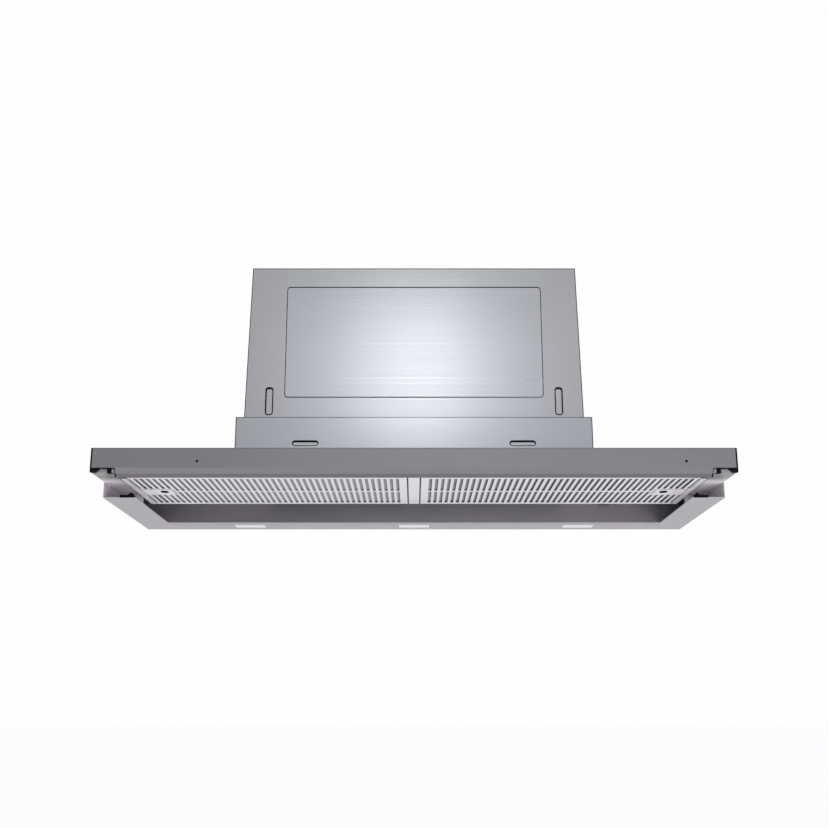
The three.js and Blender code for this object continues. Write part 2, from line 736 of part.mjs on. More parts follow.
function gland() {
  const under = BODY_TOP - SHEET - GAP;
  const over = BODY_TOP + GAP;
  const profile = [
    [GLAND_BORE, under - GLAND_NECK],
    [GLAND_NUT, under - GLAND_NECK],
    [GLAND_NUT, under],
    [GLAND_NECK, under],
    [GLAND_NECK, over],
    [GLAND_HEAD, over],
    [GLAND_HEAD, over + GLAND_RISE / 3],
    [GLAND_NECK, over + GLAND_RISE],
    [GLAND_BORE, over + GLAND_RISE],
  ];
  return turned(profile, GLAND_X, GLAND_Y, 16);
}

// ---------- fan ----------
// the scroll's run of wall, seen from the right, widened by a thickness;
// the widened run starts a step later, so the tongue closes to a wedge
function scrollLine(extra) {
  const points = [];
  const steps = 20;
  const from = 60;
  const near = FAN_RADIUS + SCROLL_TIGHT;
  const far = FAN_RADIUS + SCROLL_WIDE;
  for (let i = extra > 0 ? 1 : 0; i <= steps; i += 1) {
    const turn = i / steps;
    const angle = THREE.MathUtils.degToRad(from + (360 - from) * turn);
    const radius = near + (far - near) * turn + extra;
    points.push([FAN_Y + radius * Math.cos(angle), FAN_Z + radius * Math.sin(angle)]);
  }
  points.unshift([HOUSING_FRONT + SCROLL_FRONT_INSET - 2 * extra, SCROLL_TOP]);
  points.push([-SCROLL_BACK_INSET + extra, SCROLL_TOP]);
  return points;
}

function scrollHalf() {
  const outside = scrollLine(SCROLL_WALL);
  const wall = outside.concat(scrollLine(0).reverse());
  const side = SCROLL_HALF_WIDTH;
  const inlet = circle(FAN_Y, FAN_Z, FAN_RADIUS - INLET_LAP, 32).reverse();
  return joined(
    alongX(wall, GAP / 2, side - SCROLL_WALL / 2),
    alongX(outside, side - SCROLL_WALL, side, [inlet]),
  );
}

// a disc or ring about the fan's shaft
function fanDisc(radius, x0, x1, sides, bore, boreSides = sides) {
  const holes = bore ? [circle(FAN_Y, FAN_Z, bore, boreSides).reverse()] : [];
  return alongX(circle(FAN_Y, FAN_Z, radius, sides), x0, x1, holes);
}

function blade(index) {
  const geometry = new THREE.BoxGeometry(2 * FAN_HALF_WIDTH - DISC_THICK, BLADE_CHORD, BLADE_THICK);
  geometry.rotateX(THREE.MathUtils.degToRad(BLADE_PITCH));
  geometry.translate(0, FAN_RADIUS - FAN_RIM / 2, 0);
  geometry.rotateX((2 * Math.PI * index) / FAN_BLADES);
  geometry.translate(0, FAN_Y, FAN_Z);
  return solidOf(geometry);
}

function impeller() {
  const half = FAN_HALF_WIDTH;
  const bore = SHAFT_RADIUS + GAP;
  return joined(
    fanDisc(FAN_RADIUS, -half, -half + DISC_THICK, 36, FAN_RADIUS - FAN_RIM),
    fanDisc(FAN_RADIUS, half - DISC_THICK, half, 36, FAN_RADIUS - FAN_RIM),
    fanDisc(FAN_RADIUS - 0.3 * FAN_RIM, -DISC_THICK / 2, DISC_THICK / 2, 36, bore, 12),
    fanDisc(HUB_RADIUS, 0, HUB_LENGTH, 16, bore, 12),
    ...Array.from({ length: FAN_BLADES }, (_, i) => blade(i)),
  );
}

function motor() {
  const face = -MOTOR_END_GAP;
  const nose = face / 2 + CUT;
  return joined(
    fanDisc(MOTOR_RADIUS, -SCROLL_HALF_WIDTH, face, 28),
    fanDisc(MOTOR_NOSE, face - CUT, nose, 20),
    fanDisc(SHAFT_RADIUS, nose - CUT, SHAFT_END, 12),
  );
}

function motorBracket() {
  const x1 = -SCROLL_HALF_WIDTH - GAP;
  const x0 = x1 - BRACKET_THICK;
  const arms = [90, 210, 330].map((degrees) => {
    const geometry = new THREE.BoxGeometry(BRACKET_THICK, BRACKET_ARM, BRACKET_ARM_WIDTH);
    geometry.translate((x0 + x1) / 2, (BRACKET_ARM + BRACKET_ARM_WIDTH) / 2, 0);
    geometry.rotateX(THREE.MathUtils.degToRad(degrees));
    geometry.translate(0, FAN_Y, FAN_Z);
    return solidOf(geometry);
  });
  return joined(fanDisc(BRACKET_HUB, x0, x1, 24), ...arms);
}

// ---------- electrics ----------
function capacitor() {
  const low = HOUSING_FOOT + CAPACITOR_ABOVE_FOOT;
  const high = low + CAPACITOR_LENGTH;
  const profile = [
    [0, low],
    [CAPACITOR_RADIUS - CHAMFER, low],
    [CAPACITOR_RADIUS, low + CHAMFER],
    [CAPACITOR_RADIUS, high - CHAMFER],
    [CAPACITOR_RADIUS - CHAMFER, high],
    [0, high],
  ];
  return turned(profile, CAPACITOR_X, -SHEET - GAP - CAPACITOR_RADIUS, 24);
}

function electronicsBox() {
  const high = BODY_TOP - CASE_BELOW_TOP;
  const low = high - CASE_HEIGHT;
  const back = -SHEET - GAP;
  const outline = (inset) => rounded(
    CASE_X + inset, CASE_X + CASE_WIDTH - inset, low + inset, high - inset, CASE_RADIUS - inset / 4);
  return joined(
    alongY(outline(0), back - CASE_DEPTH, back),
    alongY(outline(CASE_LID), back - CASE_DEPTH - CASE_LID, back - CASE_DEPTH + CUT),
  );
}

// switch under the tray's top that the drawer works
function drawerSensor() {
  const back = -LIGHT_BOX_DEPTH - GAP;
  const high = -SHEET - GAP;
  const outline = rounded(SENSOR_X, SENSOR_X + SENSOR_WIDTH, high - SENSOR_HEIGHT, high, 2, 2);
  return alongY(outline, back - SENSOR_DEPTH, back);
}

// ---------- drawer ----------
// section of a runner that opens inwards, from x0 to its back at x1
function channel(x0, x1, low, high) {
  const inside = x1 - RUNNER_SHEET;
  return [
    [x1, up(low)],
    [x1, up(high)],
    [x0, up(high)],
    [x0, up(high - RUNNER_SHEET)],
    [inside, up(high - RUNNER_SHEET)],
    [inside, up(low + RUNNER_SHEET)],
    [x0, up(low + RUNNER_SHEET)],
    [x0, up(low)],
  ];
}

function runnerFixed() {
  const profile = channel(RUNNER_OUT - RUNNER_WIDTH, RUNNER_OUT, RUNNER_LOW, RUNNER_HIGH);
  return alongY(profile, RUNNER_FRONT, RUNNER_FRONT + RUNNER_LENGTH);
}

function runnerMiddle() {
  const step = RUNNER_SHEET + GAP;
  const out = RUNNER_OUT - step;
  const profile = channel(out - RUNNER_WIDTH, out, RUNNER_LOW + step, RUNNER_HIGH - step);
  const front = RUNNER_FRONT - DRAWER_OPEN / 2;
  return alongY(profile, front, front + RUNNER_LENGTH);
}

// this section opens outwards, with its back on the arm's web
function runnerInner() {
  const step = 2 * (RUNNER_SHEET + GAP);
  const out = RUNNER_OUT - step;
  const inner = ARM_WEB + RUNNER_SHEET + GAP;
  const low = RUNNER_LOW + step;
  const high = RUNNER_HIGH - step;
  const profile = [
    [inner, up(low)],
    [out, up(low)],
    [out, up(low + RUNNER_SHEET)],
    [inner + RUNNER_SHEET, up(low + RUNNER_SHEET)],
    [inner + RUNNER_SHEET, up(high - RUNNER_SHEET)],
    [out, up(high - RUNNER_SHEET)],
    [out, up(high)],
    [inner, up(high)],
  ];
  const front = RUNNER_FRONT - DRAWER_OPEN;
  return alongY(profile, front, front + RUNNER_LENGTH);
}

function sideArm() {
  const out = HALF - SHEET - SEAM;
  const inner = FILTER_BORDER - SHEET;
  const lipStart = FILTER_BORDER + STRIP_FLANGE + SEAM;
  const notchStart = FILTER_BORDER + BUFFER_INSET;
  const notchEnd = notchStart + BUFFER_WIDTH;
  const toe = HALF - CAP_FOOT_WIDTH + CAP_FOOT_SLOPE - SHEET - GAP;
  const low = up(ARM_HEIGHT);
  const start = BAR_BACK + GAP;
  const back = FILTER_BACK + SEAM;
  const ledge = up(FILTER_HEIGHT);
  const outline = [
    [inner, start],
    [lipStart, start],
    [lipStart, ARM_FRONT],
    [notchStart, ARM_FRONT],
    [notchStart, ARM_FRONT + BUFFER_LENGTH],
    [notchEnd, ARM_FRONT + BUFFER_LENGTH],
    [notchEnd, ARM_FRONT],
    [toe, ARM_FRONT],
    [toe, ARM_FRONT + ARM_SHOULDER],
    [out, ARM_FRONT + ARM_SHOULDER],
    [out, ARM_BACK],
    [inner, ARM_BACK],
  ];
  const lip = [
    [notchEnd, low],
    [toe, low],
    [toe - CAP_FOOT_SLOPE, low + ARM_LIP],
    [notchEnd, low + ARM_LIP],
  ];
  // the outermost slot of the filter runs across the seam into the arm's ledge
  const slotEnd = SLOT_FIRST + SLOT_PITCH * (SLOT_COUNT - 1) + SLOT_WIDTH;
  const notch = (near, far) => block(
    OPENING_HALF - CUT, Math.max(slotEnd, OPENING_HALF), near, far, ledge - CUT, ledge + SHEET + CUT);
  return cut(
    joined(
      raised(outline, low, low + SHEET),
      alongY(lip, ARM_FRONT, ARM_FRONT + SHEET),
      block(lipStart, notchStart, ARM_FRONT, ARM_FRONT + SHEET, low, low + ARM_LIP),
      block(inner, FILTER_BORDER, start, back, ledge, up(SCREEN_HEIGHT - GAP)),
      block(OPENING_HALF, FILTER_BORDER - SHEET / 4, start, back, ledge, ledge + SHEET),
      block(
        ARM_WEB, ARM_WEB + RUNNER_SHEET, start, ARM_FRONT + ARM_WEB_END,
        low, up(RUNNER_HIGH - RUNNER_SHEET - GAP)),
    ),
    notch(ROW_FRONT_START, LATCH_FRONT - LATCH_MARGIN),
    notch(LATCH_BACK + LATCH_MARGIN, ROW_BACK_END),
  );
}

// rubber block under the bar, in the arm's notch
function armBuffer() {
  const start = FILTER_BORDER + BUFFER_INSET;
  return block(
    start + GAP, start + BUFFER_WIDTH - GAP, ARM_FRONT, ARM_FRONT + BUFFER_LENGTH - GAP,
    up(ARM_HEIGHT - BUFFER_PROUD), up(BAR_LOW - GAP));
}

// section of the bar, in y and z, with its front edge broken
function barOutline(low) {
  return [
    [BAR_FRONT, up(low)],
    [BAR_BACK, up(low)],
    [BAR_BACK, up(BAR_HIGH)],
    [BAR_FRONT + BAR_BEVEL, up(BAR_HIGH)],
    [BAR_FRONT, up(BAR_HIGH - BAR_BEVEL)],
  ];
}

function frontBar() {
  const hole = (x) => alongY(
    circle(x, up(BAR_LOW + BAR_HOLE_ABOVE_FOOT), BAR_HOLE_RADIUS, 12),
    BAR_FRONT - CUT, BAR_FRONT + BAR_SHEET + CUT);
  const hollow = rect(
    BAR_FRONT + BAR_SHEET, BAR_BACK - BAR_SHEET, up(BAR_LOW + BAR_SHEET), up(BAR_HIGH - BAR_SHEET));
  return cut(
    alongX(barOutline(BAR_LOW), -BAR_HALF, BAR_HALF, [hollow.reverse()]),
    hole(-HALF + BAR_HOLE_LEFT_INSET),
    hole(HALF - BAR_HOLE_RIGHT_INSET),
    block(
      STRIP_LEFT, STRIP_RIGHT, STRIP_FRONT, STRIP_BACK, up(BAR_HIGH - BAR_SHEET) - CUT, up(BAR_HIGH) + CUT),
  );
}

function buttonCentres() {
  return Array.from({ length: BUTTON_COUNT }, (_, i) => BUTTON_FIRST + BUTTON_PITCH * i);
}

// a block about a button, grown all round
function aroundButton(x, grown, low, high) {
  return block(
    x - BUTTON_LENGTH / 2 - grown, x + BUTTON_LENGTH / 2 + grown,
    BUTTON_Y - BUTTON_WIDTH / 2 - grown, BUTTON_Y + BUTTON_WIDTH / 2 + grown, low, high);
}

function controlStrip() {
  const top = up(BAR_HIGH);
  const low = top - STRIP_DEPTH;
  const chamber = BUTTON_FLANGE + BUTTON_GAP + GAP / 3;
  const pockets = buttonCentres().flatMap((x) => [
    aroundButton(x, BUTTON_GAP, top - STRIP_SKIN - CUT, top + CUT),
    aroundButton(x, chamber, low + BRACKET_SHEET, top - STRIP_SKIN),
  ]);
  return cut(
    joined(
      block(
        STRIP_LEFT + GAP, STRIP_RIGHT - GAP, STRIP_FRONT + GAP, STRIP_BACK - GAP,
        low, top + SHEET / 4),
      block(
        STRIP_LEFT - STRIP_FLANGE, STRIP_RIGHT + STRIP_FLANGE, STRIP_FRONT - CUT, STRIP_BACK + CUT,
        low + STRIP_FLANGE, top - BAR_SHEET - GAP),
    ),
    ...pockets,
  );
}

function button(x) {
  const top = up(BAR_HIGH);
  const ceiling = top - STRIP_SKIN;
  const keeper = ceiling - BUTTON_GAP - BUTTON_FLANGE - GAP;
  return joined(
    raised(
      rounded(
        x - BUTTON_LENGTH / 2, x + BUTTON_LENGTH / 2,
        BUTTON_Y - BUTTON_WIDTH / 2, BUTTON_Y + BUTTON_WIDTH / 2, 1.5),
      keeper + GAP, top + BUTTON_RISE),
    aroundButton(x, BUTTON_FLANGE, keeper, ceiling - BUTTON_GAP),
  );
}

// the bar's return below, which runs back to the filters
function frontRail() {
  const edge = FILTER_FRONT - SEAM;
  const top = up(BAR_LOW - GAP);
  const low = up(FILTER_HEIGHT);
  const profile = [
    [BAR_FRONT + SEAM, top],
    [edge - SHEET, low],
    [edge, low],
    [edge, top],
    [edge - SHEET, top],
    [edge - SHEET, low + BRACKET_SHEET],
    [BAR_FRONT + SEAM + STRIP_FLANGE, top],
  ];
  return alongX(profile, -FILTER_BORDER - STRIP_FLANGE, FILTER_BORDER + STRIP_FLANGE);
}

function rearRail() {
  const y = FILTER_BACK + SEAM;
  const half = FILTER_BORDER - SHEET - GAP;
  const low = up(FILTER_HEIGHT + SHEET + GAP);
  const high = up(FILTER_HEIGHT + FILTER_RIM);
  return joined(
    block(-half, half, y, y + SHEET, low, high),
    block(-half, half, y, y + FILTER_RIM, high - SHEET, high),
  );
}

function centreStrip() {
  const back = FILTER_BACK + GAP / 3;
  const low = up(FILTER_HEIGHT);
  return joined(
    block(-STRIP_HALF, STRIP_HALF, FILTER_FRONT, back, low, low + SHEET),
    block(-SHEET / 2, SHEET / 2, BAR_BACK + SHEET + 2 * GAP, back, low, up(SCREEN_HEIGHT - GAP)),
  );
}

function airScreen() {
  const half = FILTER_BORDER;
  const low = up(SCREEN_HEIGHT);
  const front = BAR_BACK + GAP;
  return joined(
    block(-half, half, front, FILTER_BACK + SEAM + SHEET, low, low + SHEET),
    block(
      -half + SHEET + GAP, half - SHEET - GAP, front, front + SHEET, up(BAR_LOW), low + SHEET / 4),
  );
}

function endCap() {
  const x0 = HALF - CAP_THICK;
  const foot = HALF - CAP_FOOT_WIDTH;
  const footTop = up(BAR_LOW - GAP);
  const toe = BAR_FRONT + CAP_FOOT_DEPTH;
  const plate = [
    [BAR_FRONT, up(ARM_HEIGHT)],
    [toe, up(ARM_HEIGHT)],
    [toe, footTop],
    ...barOutline(BAR_LOW - GAP).slice(1),
  ];
  const footOutline = [
    [foot + CAP_FOOT_SLOPE, up(ARM_HEIGHT)],
    [HALF, up(ARM_HEIGHT)],
    [HALF, footTop],
    [foot, footTop],
    [foot, footTop - 2 * GAP],
  ];
  return joined(
    alongX(plate, x0, HALF),
    alongY(footOutline, BAR_FRONT, toe),
    block(
      BAR_HALF - CAP_PLUG, x0 + CAP_THICK / 2, BAR_FRONT + BAR_SHEET + GAP, BAR_BACK - BAR_SHEET - GAP,
      up(BAR_LOW + BAR_SHEET + GAP), up(BAR_HIGH - BAR_SHEET - GAP)),
  );
}

// ---------- grease filters ----------
function slotCutters() {
  const low = up(FILTER_HEIGHT) - CUT;
  const high = up(FILTER_HEIGHT) + SHEET + CUT;
  const holes = [];
  for (let i = 0; i < SLOT_COUNT; i += 1) {
    const x = SLOT_FIRST + SLOT_PITCH * i;
    const far = Math.min(x + SLOT_WIDTH, FILTER_OUTER - SHEET);
    const atLatch = far > LATCH_INNER - LATCH_TRAVEL;
    const frontEnd = atLatch ? LATCH_FRONT - LATCH_MARGIN : ROW_FRONT_END;
    const backStart = atLatch ? LATCH_BACK + LATCH_MARGIN : ROW_BACK_START;
    holes.push(block(x, far, ROW_FRONT_START, frontEnd, low, high));
    holes.push(block(x, far, backStart, ROW_BACK_END, low, high));
  }
  return holes;
}

function filterCassette() {
  const low = up(FILTER_HEIGHT);
  const outline = rect(FILTER_INNER, FILTER_OUTER, FILTER_FRONT, FILTER_BACK);
  const window = block(
    LATCH_INNER - LATCH_TRAVEL - GAP, LATCH_WINDOW_END, LATCH_FRONT, LATCH_BACK,
    low - CUT, low + SHEET + CUT);
  const face = cut(raised(outline, low, low + SHEET), window, ...slotCutters());
  const inside = rect(
    FILTER_INNER + SHEET, FILTER_OUTER - SHEET, FILTER_FRONT + SHEET, FILTER_BACK - SHEET);
  const rim = raised(outline, low + SHEET / 2, low + FILTER_RIM, [inside.reverse()]);
  const boltSlot = block(
    FILTER_OUTER - SHEET - CUT, FILTER_OUTER + CUT, BOLT_FRONT - SEAM, BOLT_BACK + SEAM,
    low + SHEET, low + SHEET + 2 * GAP + CUT);
  return cut(joined(face, rim), boltSlot);
}

function filterLatch() {
  const low = up(FILTER_HEIGHT);
  const seat = low + SHEET + GAP;
  const outer = LATCH_WINDOW_END - GAP;
  const finger = rounded(
    FINGER_X - FINGER_WIDTH / 2, FINGER_X + FINGER_WIDTH / 2,
    FINGER_Y - FINGER_LENGTH / 2, FINGER_Y + FINGER_LENGTH / 2, FINGER_RADIUS);
  return cut(
    joined(
      block(LATCH_INNER, outer, LATCH_FRONT + GAP, LATCH_BACK - GAP, low, seat + SHEET / 2),
      block(
        LATCH_INNER - LATCH_FLANGE, outer + LATCH_FLANGE / 2,
        LATCH_FRONT - LATCH_FLANGE - CUT, LATCH_BACK + LATCH_FLANGE + CUT, seat, seat + SHEET),
      block(outer, FILTER_OUTER - GAP / 3, BOLT_FRONT, BOLT_BACK, seat, seat + SHEET),
    ),
    raised(finger, low - CUT, seat + SHEET + CUT),
  );
}

function filterPad() {
  const low = up(FILTER_HEIGHT) + SHEET + GAP;
  const wall = SHEET + GAP;
  const reach = (length) => length / 2 + FINGER_RADIUS / 2;
  return cut(
    block(
      FILTER_INNER + wall, FILTER_OUTER - wall, FILTER_FRONT + wall, FILTER_BACK - wall,
      low, low + FILTER_PAD_HEIGHT),
    block(
      LATCH_INNER - LATCH_FLANGE - LATCH_TRAVEL - CUT, FILTER_OUTER + CUT,
      LATCH_FRONT - LATCH_MARGIN, LATCH_BACK + LATCH_MARGIN, low - CUT, low + SHEET + 2 * GAP),
    block(
      FINGER_X - LATCH_TRAVEL - reach(FINGER_WIDTH), FINGER_X + reach(FINGER_WIDTH),
      FINGER_Y - reach(FINGER_LENGTH), FINGER_Y + reach(FINGER_LENGTH),
      low - CUT, low + FILTER_PAD_HEIGHT + CUT),
  );
}

// ---------- assembly ----------
add('tray_shell', tray(), 'tray');
add('light_box', lightBox(), 'dark');
for (const [side, x] of LAMP_CENTRES) {
  add(`lamp_lens_${side}`, lampLens(x), 'lens');
  add(`lamp_board_${side}`, lampBoard(x), 'zinc');
}
addPair('guide_rail', guideRail(), 'tray');
addPair('front_pad', frontPad(), 'black');
add('plenum_box', plenum(), 'bright');
addPair('foot_plate', footPlate(), 'bright');
add('housing_front', housingFront(), 'body');
add('housing_wrap', housingWrap(), 'body');
addPair('clamp_plate', clampPlate(), 'body');
add('duct_collar', collar(), 'plastic');
add('flap_pin', flapPin(), 'zinc');
add('flap_left', flap(-1), 'plastic');
add('flap_right', flap(1), 'plastic');
add('cable_gland', gland(), 'black');
addPair('fan_scroll', scrollHalf(), 'plastic');
add('impeller', impeller(), 'plastic');
add('fan_motor', motor(), 'motor');
add('motor_bracket', motorBracket(), 'zinc');
add('capacitor', capacitor(), 'zinc');
add('electronics_box', electronicsBox(), 'plastic');
add('drawer_sensor', drawerSensor(), 'black');
addPair('runner_fixed', runnerFixed(), 'zinc');
addPair('runner_middle', runnerMiddle(), 'zinc');
addPair('runner_inner', runnerInner(), 'zinc');
addPair('side_arm', sideArm(), 'tray');
addPair('arm_buffer', armBuffer(), 'black');
add('front_bar', frontBar(), 'bar');
addPair('end_cap', endCap(), 'black');
add('control_strip', controlStrip(), 'black');
buttonCentres().forEach((x, i) => add(`button_${i + 1}`, button(x), 'zinc'));
add('front_rail', frontRail(), 'bar');
add('rear_rail', rearRail(), 'tray');
add('centre_strip', centreStrip(), 'filter');
add('air_screen', airScreen(), 'zinc');
addPair('filter', filterCassette(), 'filter');
addPair('filter_pad', filterPad(), 'mesh');
addPair('filter_latch', filterLatch(), 'filter');

export default root;
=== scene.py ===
import math

import bmesh
import bpy
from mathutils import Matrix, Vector

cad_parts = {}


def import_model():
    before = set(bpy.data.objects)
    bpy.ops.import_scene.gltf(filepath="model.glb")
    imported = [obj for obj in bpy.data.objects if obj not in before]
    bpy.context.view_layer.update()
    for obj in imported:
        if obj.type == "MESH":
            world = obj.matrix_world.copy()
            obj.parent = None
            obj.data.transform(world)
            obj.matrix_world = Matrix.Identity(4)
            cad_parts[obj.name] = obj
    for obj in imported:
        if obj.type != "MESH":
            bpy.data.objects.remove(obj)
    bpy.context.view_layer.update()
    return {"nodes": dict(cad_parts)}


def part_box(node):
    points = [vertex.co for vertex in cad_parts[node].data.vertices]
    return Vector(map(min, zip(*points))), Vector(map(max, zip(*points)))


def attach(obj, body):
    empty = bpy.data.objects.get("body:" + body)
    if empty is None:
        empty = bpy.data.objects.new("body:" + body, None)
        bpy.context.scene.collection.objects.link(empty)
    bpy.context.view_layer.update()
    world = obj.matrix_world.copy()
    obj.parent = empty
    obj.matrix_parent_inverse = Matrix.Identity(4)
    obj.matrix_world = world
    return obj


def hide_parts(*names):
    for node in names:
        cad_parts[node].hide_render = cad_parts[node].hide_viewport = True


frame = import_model()
NODES = frame["nodes"]
MM = 0.001
SIDES = ((-1, "left"), (1, "right"))

# ---------- picture ----------
IMAGE_SIDE = 828  # pixels
FOCAL_PX = 1130
SENSOR = 36  # the width that the camera's lens is given for
CAMERA_AHEAD = 1607 * MM  # in front of the body's front
CAMERA_BELOW = 301.8 * MM  # below the underside
CAMERA_PITCH = 14.87  # degrees upwards

FLOOR_DROP = 0.95  # below the origin
FLOOR_RADIUS = 60
FLOOR_EDGES = 64
FLOOR_GLOW = 0.93  # share of the backdrop's white in the floor as it is seen
FLOOR_PAINT = (0.92, 0.92, 0.92, 1)
BACKDROP = (1, 0.985, 1, 1)
AMBIENT = (0.97, 0.98, 1.0, 1)
AMBIENT_STRENGTH = 0.8

LAMPS = (  # name, place, aim, size, power
    ("front_lamp", (0.01, -2.7, 0.885), (0, -0.215, 0.13), (0.3, 0.36), 3.45),
    ("fill_lamp", (0.85, -2.7, 0.7), (0.1, -0.3, 0.1), (1.0, 1.1), 0.35),
    ("top_lamp", (0.3, -0.6, 2.2), (0, -0.15, 0.2), (1.6, 1.2), 8),
    ("low_lamp", (0.9, -1.7, -0.62), (0.1, -0.3, -0.05), (1.2, 0.3), 10),
)

# ---------- places read from the frame ----------
TRAY_LOW, TRAY_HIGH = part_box("tray_shell")
PLENUM_LOW, PLENUM_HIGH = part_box("plenum_box")
PANEL_LOW, PANEL_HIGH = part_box("housing_front")
WRAP_LOW, WRAP_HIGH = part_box("housing_wrap")
COLLAR_LOW, COLLAR_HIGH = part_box("duct_collar")
BODY_FRONT = TRAY_LOW.y
UNDERSIDE = TRAY_LOW.z
TRAY_TOP = TRAY_HIGH.z
FRONTWARD = Vector((0, -1, 0))
DOWNWARD = Vector((0, 0, -1))

# ---------- sizes on the housing ----------
EMBOSS_HALF = 200 * MM  # the raised field
EMBOSS_LOW = 91 * MM
EMBOSS_HIGH = 272 * MM
EMBOSS_RADIUS = 5 * MM
EMBOSS_RISE = 1.5 * MM
PANEL_FACE = PANEL_LOW.y + EMBOSS_RISE
PANEL_HALF = 262 * MM
PANEL_FOOT = 48 * MM
PANEL_CREST = 304 * MM
HOUSING_LEAN = 5.5 * MM  # how far each side leans in from foot to top
CLAMP_SLOT = (223.8 * MM, 84.3 * MM, 5.3 * MM, 21.4 * MM)  # x, z, half width, half height
CLAMP_SLOT_RADIUS = 4 * MM
FOOT_SLOT = (159 * MM, -0.6 * MM, 18.7 * MM, 3.9 * MM)  # in the same order
FOOT_SLOT_RADIUS = FOOT_SLOT[3] - 0.05 * MM
RIM_PROUD = 0.3 * MM
RIM_SINK = 0.05 * MM
EDGE_LINE = 1.2 * MM  # width of the painted shade lines along the sheets' edges
EDGE_GAP = 0.1 * MM  # between an edge and its line
# the painted shade line along the step's top: its width, and how far below the top it lies
STEP_LINE = 0.8 * MM
STEP_LINE_DROP = 0.65 * MM
BEAD_PROUD = 0.12 * MM
SINK = 0.02 * MM  # how far a strip starts inside the face that carries it

# ---------- sizes on the drawer ----------
BAR_FACE = -365.7 * MM
BAR_TOP = -24.7 * MM
BAR_FOOT = -53 * MM
RETURN_BEND = -59.3 * MM  # where the return's lower part, darkened as painted shade, begins
RETURN_LOW = -60.4 * MM
RAIL_TOP_Y = -365.3 * MM  # the rail's sloping face, from under the bar to the filters
RAIL_TOP_Z = -53.3 * MM
RAIL_LOW_Y = -350.6 * MM
RAIL_LOW_Z = -64 * MM
RAIL_END = 415 * MM
END_PLATE_OUTER = RAIL_END + 1.9 * MM
CHEEK_FRONT = -362.3 * MM
BUFFER_INNER = 419.3 * MM
HOLES = ((-301 * MM, -43.8 * MM), (378 * MM, -43.8 * MM))  # x, z
PLUG_SEAT = 1.35 * MM  # behind the bar's face
LEDGE_INNER = 401.8 * MM  # the arm's ledge beside the filters
LEDGE_OUTER = 412.6 * MM
FILTER_FLOOR = -64 * MM  # underside of filters, strip and ledges
FILTER_EDGE = 10 * MM  # from the middle
FILTER_FRONT = -349.4 * MM
FILTER_BACK = -147.2 * MM
SEAM_INSET = 0.3 * MM  # from both ends of the filters
STRIP_SEAL = (FILTER_EDGE - 1.3 * MM, 1.3 * MM)  # x, width
LEDGE_SEAMS = ((LEDGE_OUTER - 0.5 * MM, 1.1 * MM), (LEDGE_INNER + 0.45 * MM, 0.5 * MM))
LATCH_INNER = 358 * MM  # the latch plate as seen from below
LATCH_OUTER = 399 * MM
LATCH_FRONT = -264.4 * MM
RECESS_Y = LATCH_FRONT - 0.4 * MM
RECESS_WIDTH = 1.3 * MM
RECESS_PROUD = 0.15 * MM
FINGER_X = 370 * MM
FINGER_Y = -246 * MM
FINGER_HALF_X = 5.5 * MM
FINGER_HALF_Y = 8 * MM
FINGER_RADIUS = 5 * MM

# ---------- fasteners ----------
HOUSING_SCREWS = 5  # in each row
HOUSING_SCREW_FOOT = 14 * MM
HOUSING_SCREW_STEP = 59 * MM
HOUSING_SCREW_FRONT = 7 * MM  # behind the wrap's front
HOUSING_SCREW_BACK = -9 * MM
PLENUM_SCREWS_Y = (-270 * MM, -145 * MM, -20 * MM)
PLENUM_SCREW_DROP = 8 * MM
COLLAR_SCREWS = 6
COLLAR_SCREW_START = 30  # degrees
COLLAR_SCREW_CIRCLE = 81.5 * MM  # radius
COLLAR_FLANGE = 1.4 * MM
TRAY_SCREWS_X = (285 * MM, 355 * MM, 430 * MM)
TRAY_SCREWS_Y = (-278 * MM, -150 * MM, -14 * MM)
SCREW_RADIUS = 2.4 * MM
TRAY_SCREW_RADIUS = 2.6 * MM

# ---------- mesh in the filters ----------
MESH_CELL = 3.4 * MM
MESH_WAVE = 0.75 * MM
MESH_MARGIN = 1 * MM
MESH_LAYERS = 3
MESH_FIRST = 0.36  # height of the lowest layer, as a share of the pad
MESH_RISE = 0.24  # from one layer to the next
MESH_STRAND = 0.3 * MM
LATCH_ROOM_X = (7 * MM, 2 * MM)  # the lowest layer leaves the latch this free
LATCH_ROOM_Y = (4 * MM, 1 * MM)


# ---------- materials ----------
NOISE_LOW = 0.3  # a noise value lies mostly between these
NOISE_HIGH = 0.7
CLOUDING = 0.03  # how far a shade goes down and up with the noise
WEAR = 0.4  # share of the clouds in the tint of brushed sheet
ZONE_EDGE = 0.2 * MM  # how softly a zone ends
STROKE = 0.0015  # how far brushing stretches the grain
GRAIN = {"x": (STROKE, 1.0, 1.0), "y": (1.0, STROKE, 1.0)}
BRUSH_DEPTH = 0.0000004
SATIN_DEPTH = 0.00001
MOULD_DEPTH = 0.00004


def linear(level):
    """A colour part from 0 to 255, as the shader wants it."""
    part = level / 255
    return part / 12.92 if part <= 0.04045 else ((part + 0.055) / 1.055) ** 2.4


def colour(red, green, blue):
    """A shader's colour from three parts of 0 to 255."""
    return (linear(red), linear(green), linear(blue), 1.0)


def shaded(base, factor):
    """A colour made darker or lighter."""
    return (base[0] * factor, base[1] * factor, base[2] * factor, 1.0)


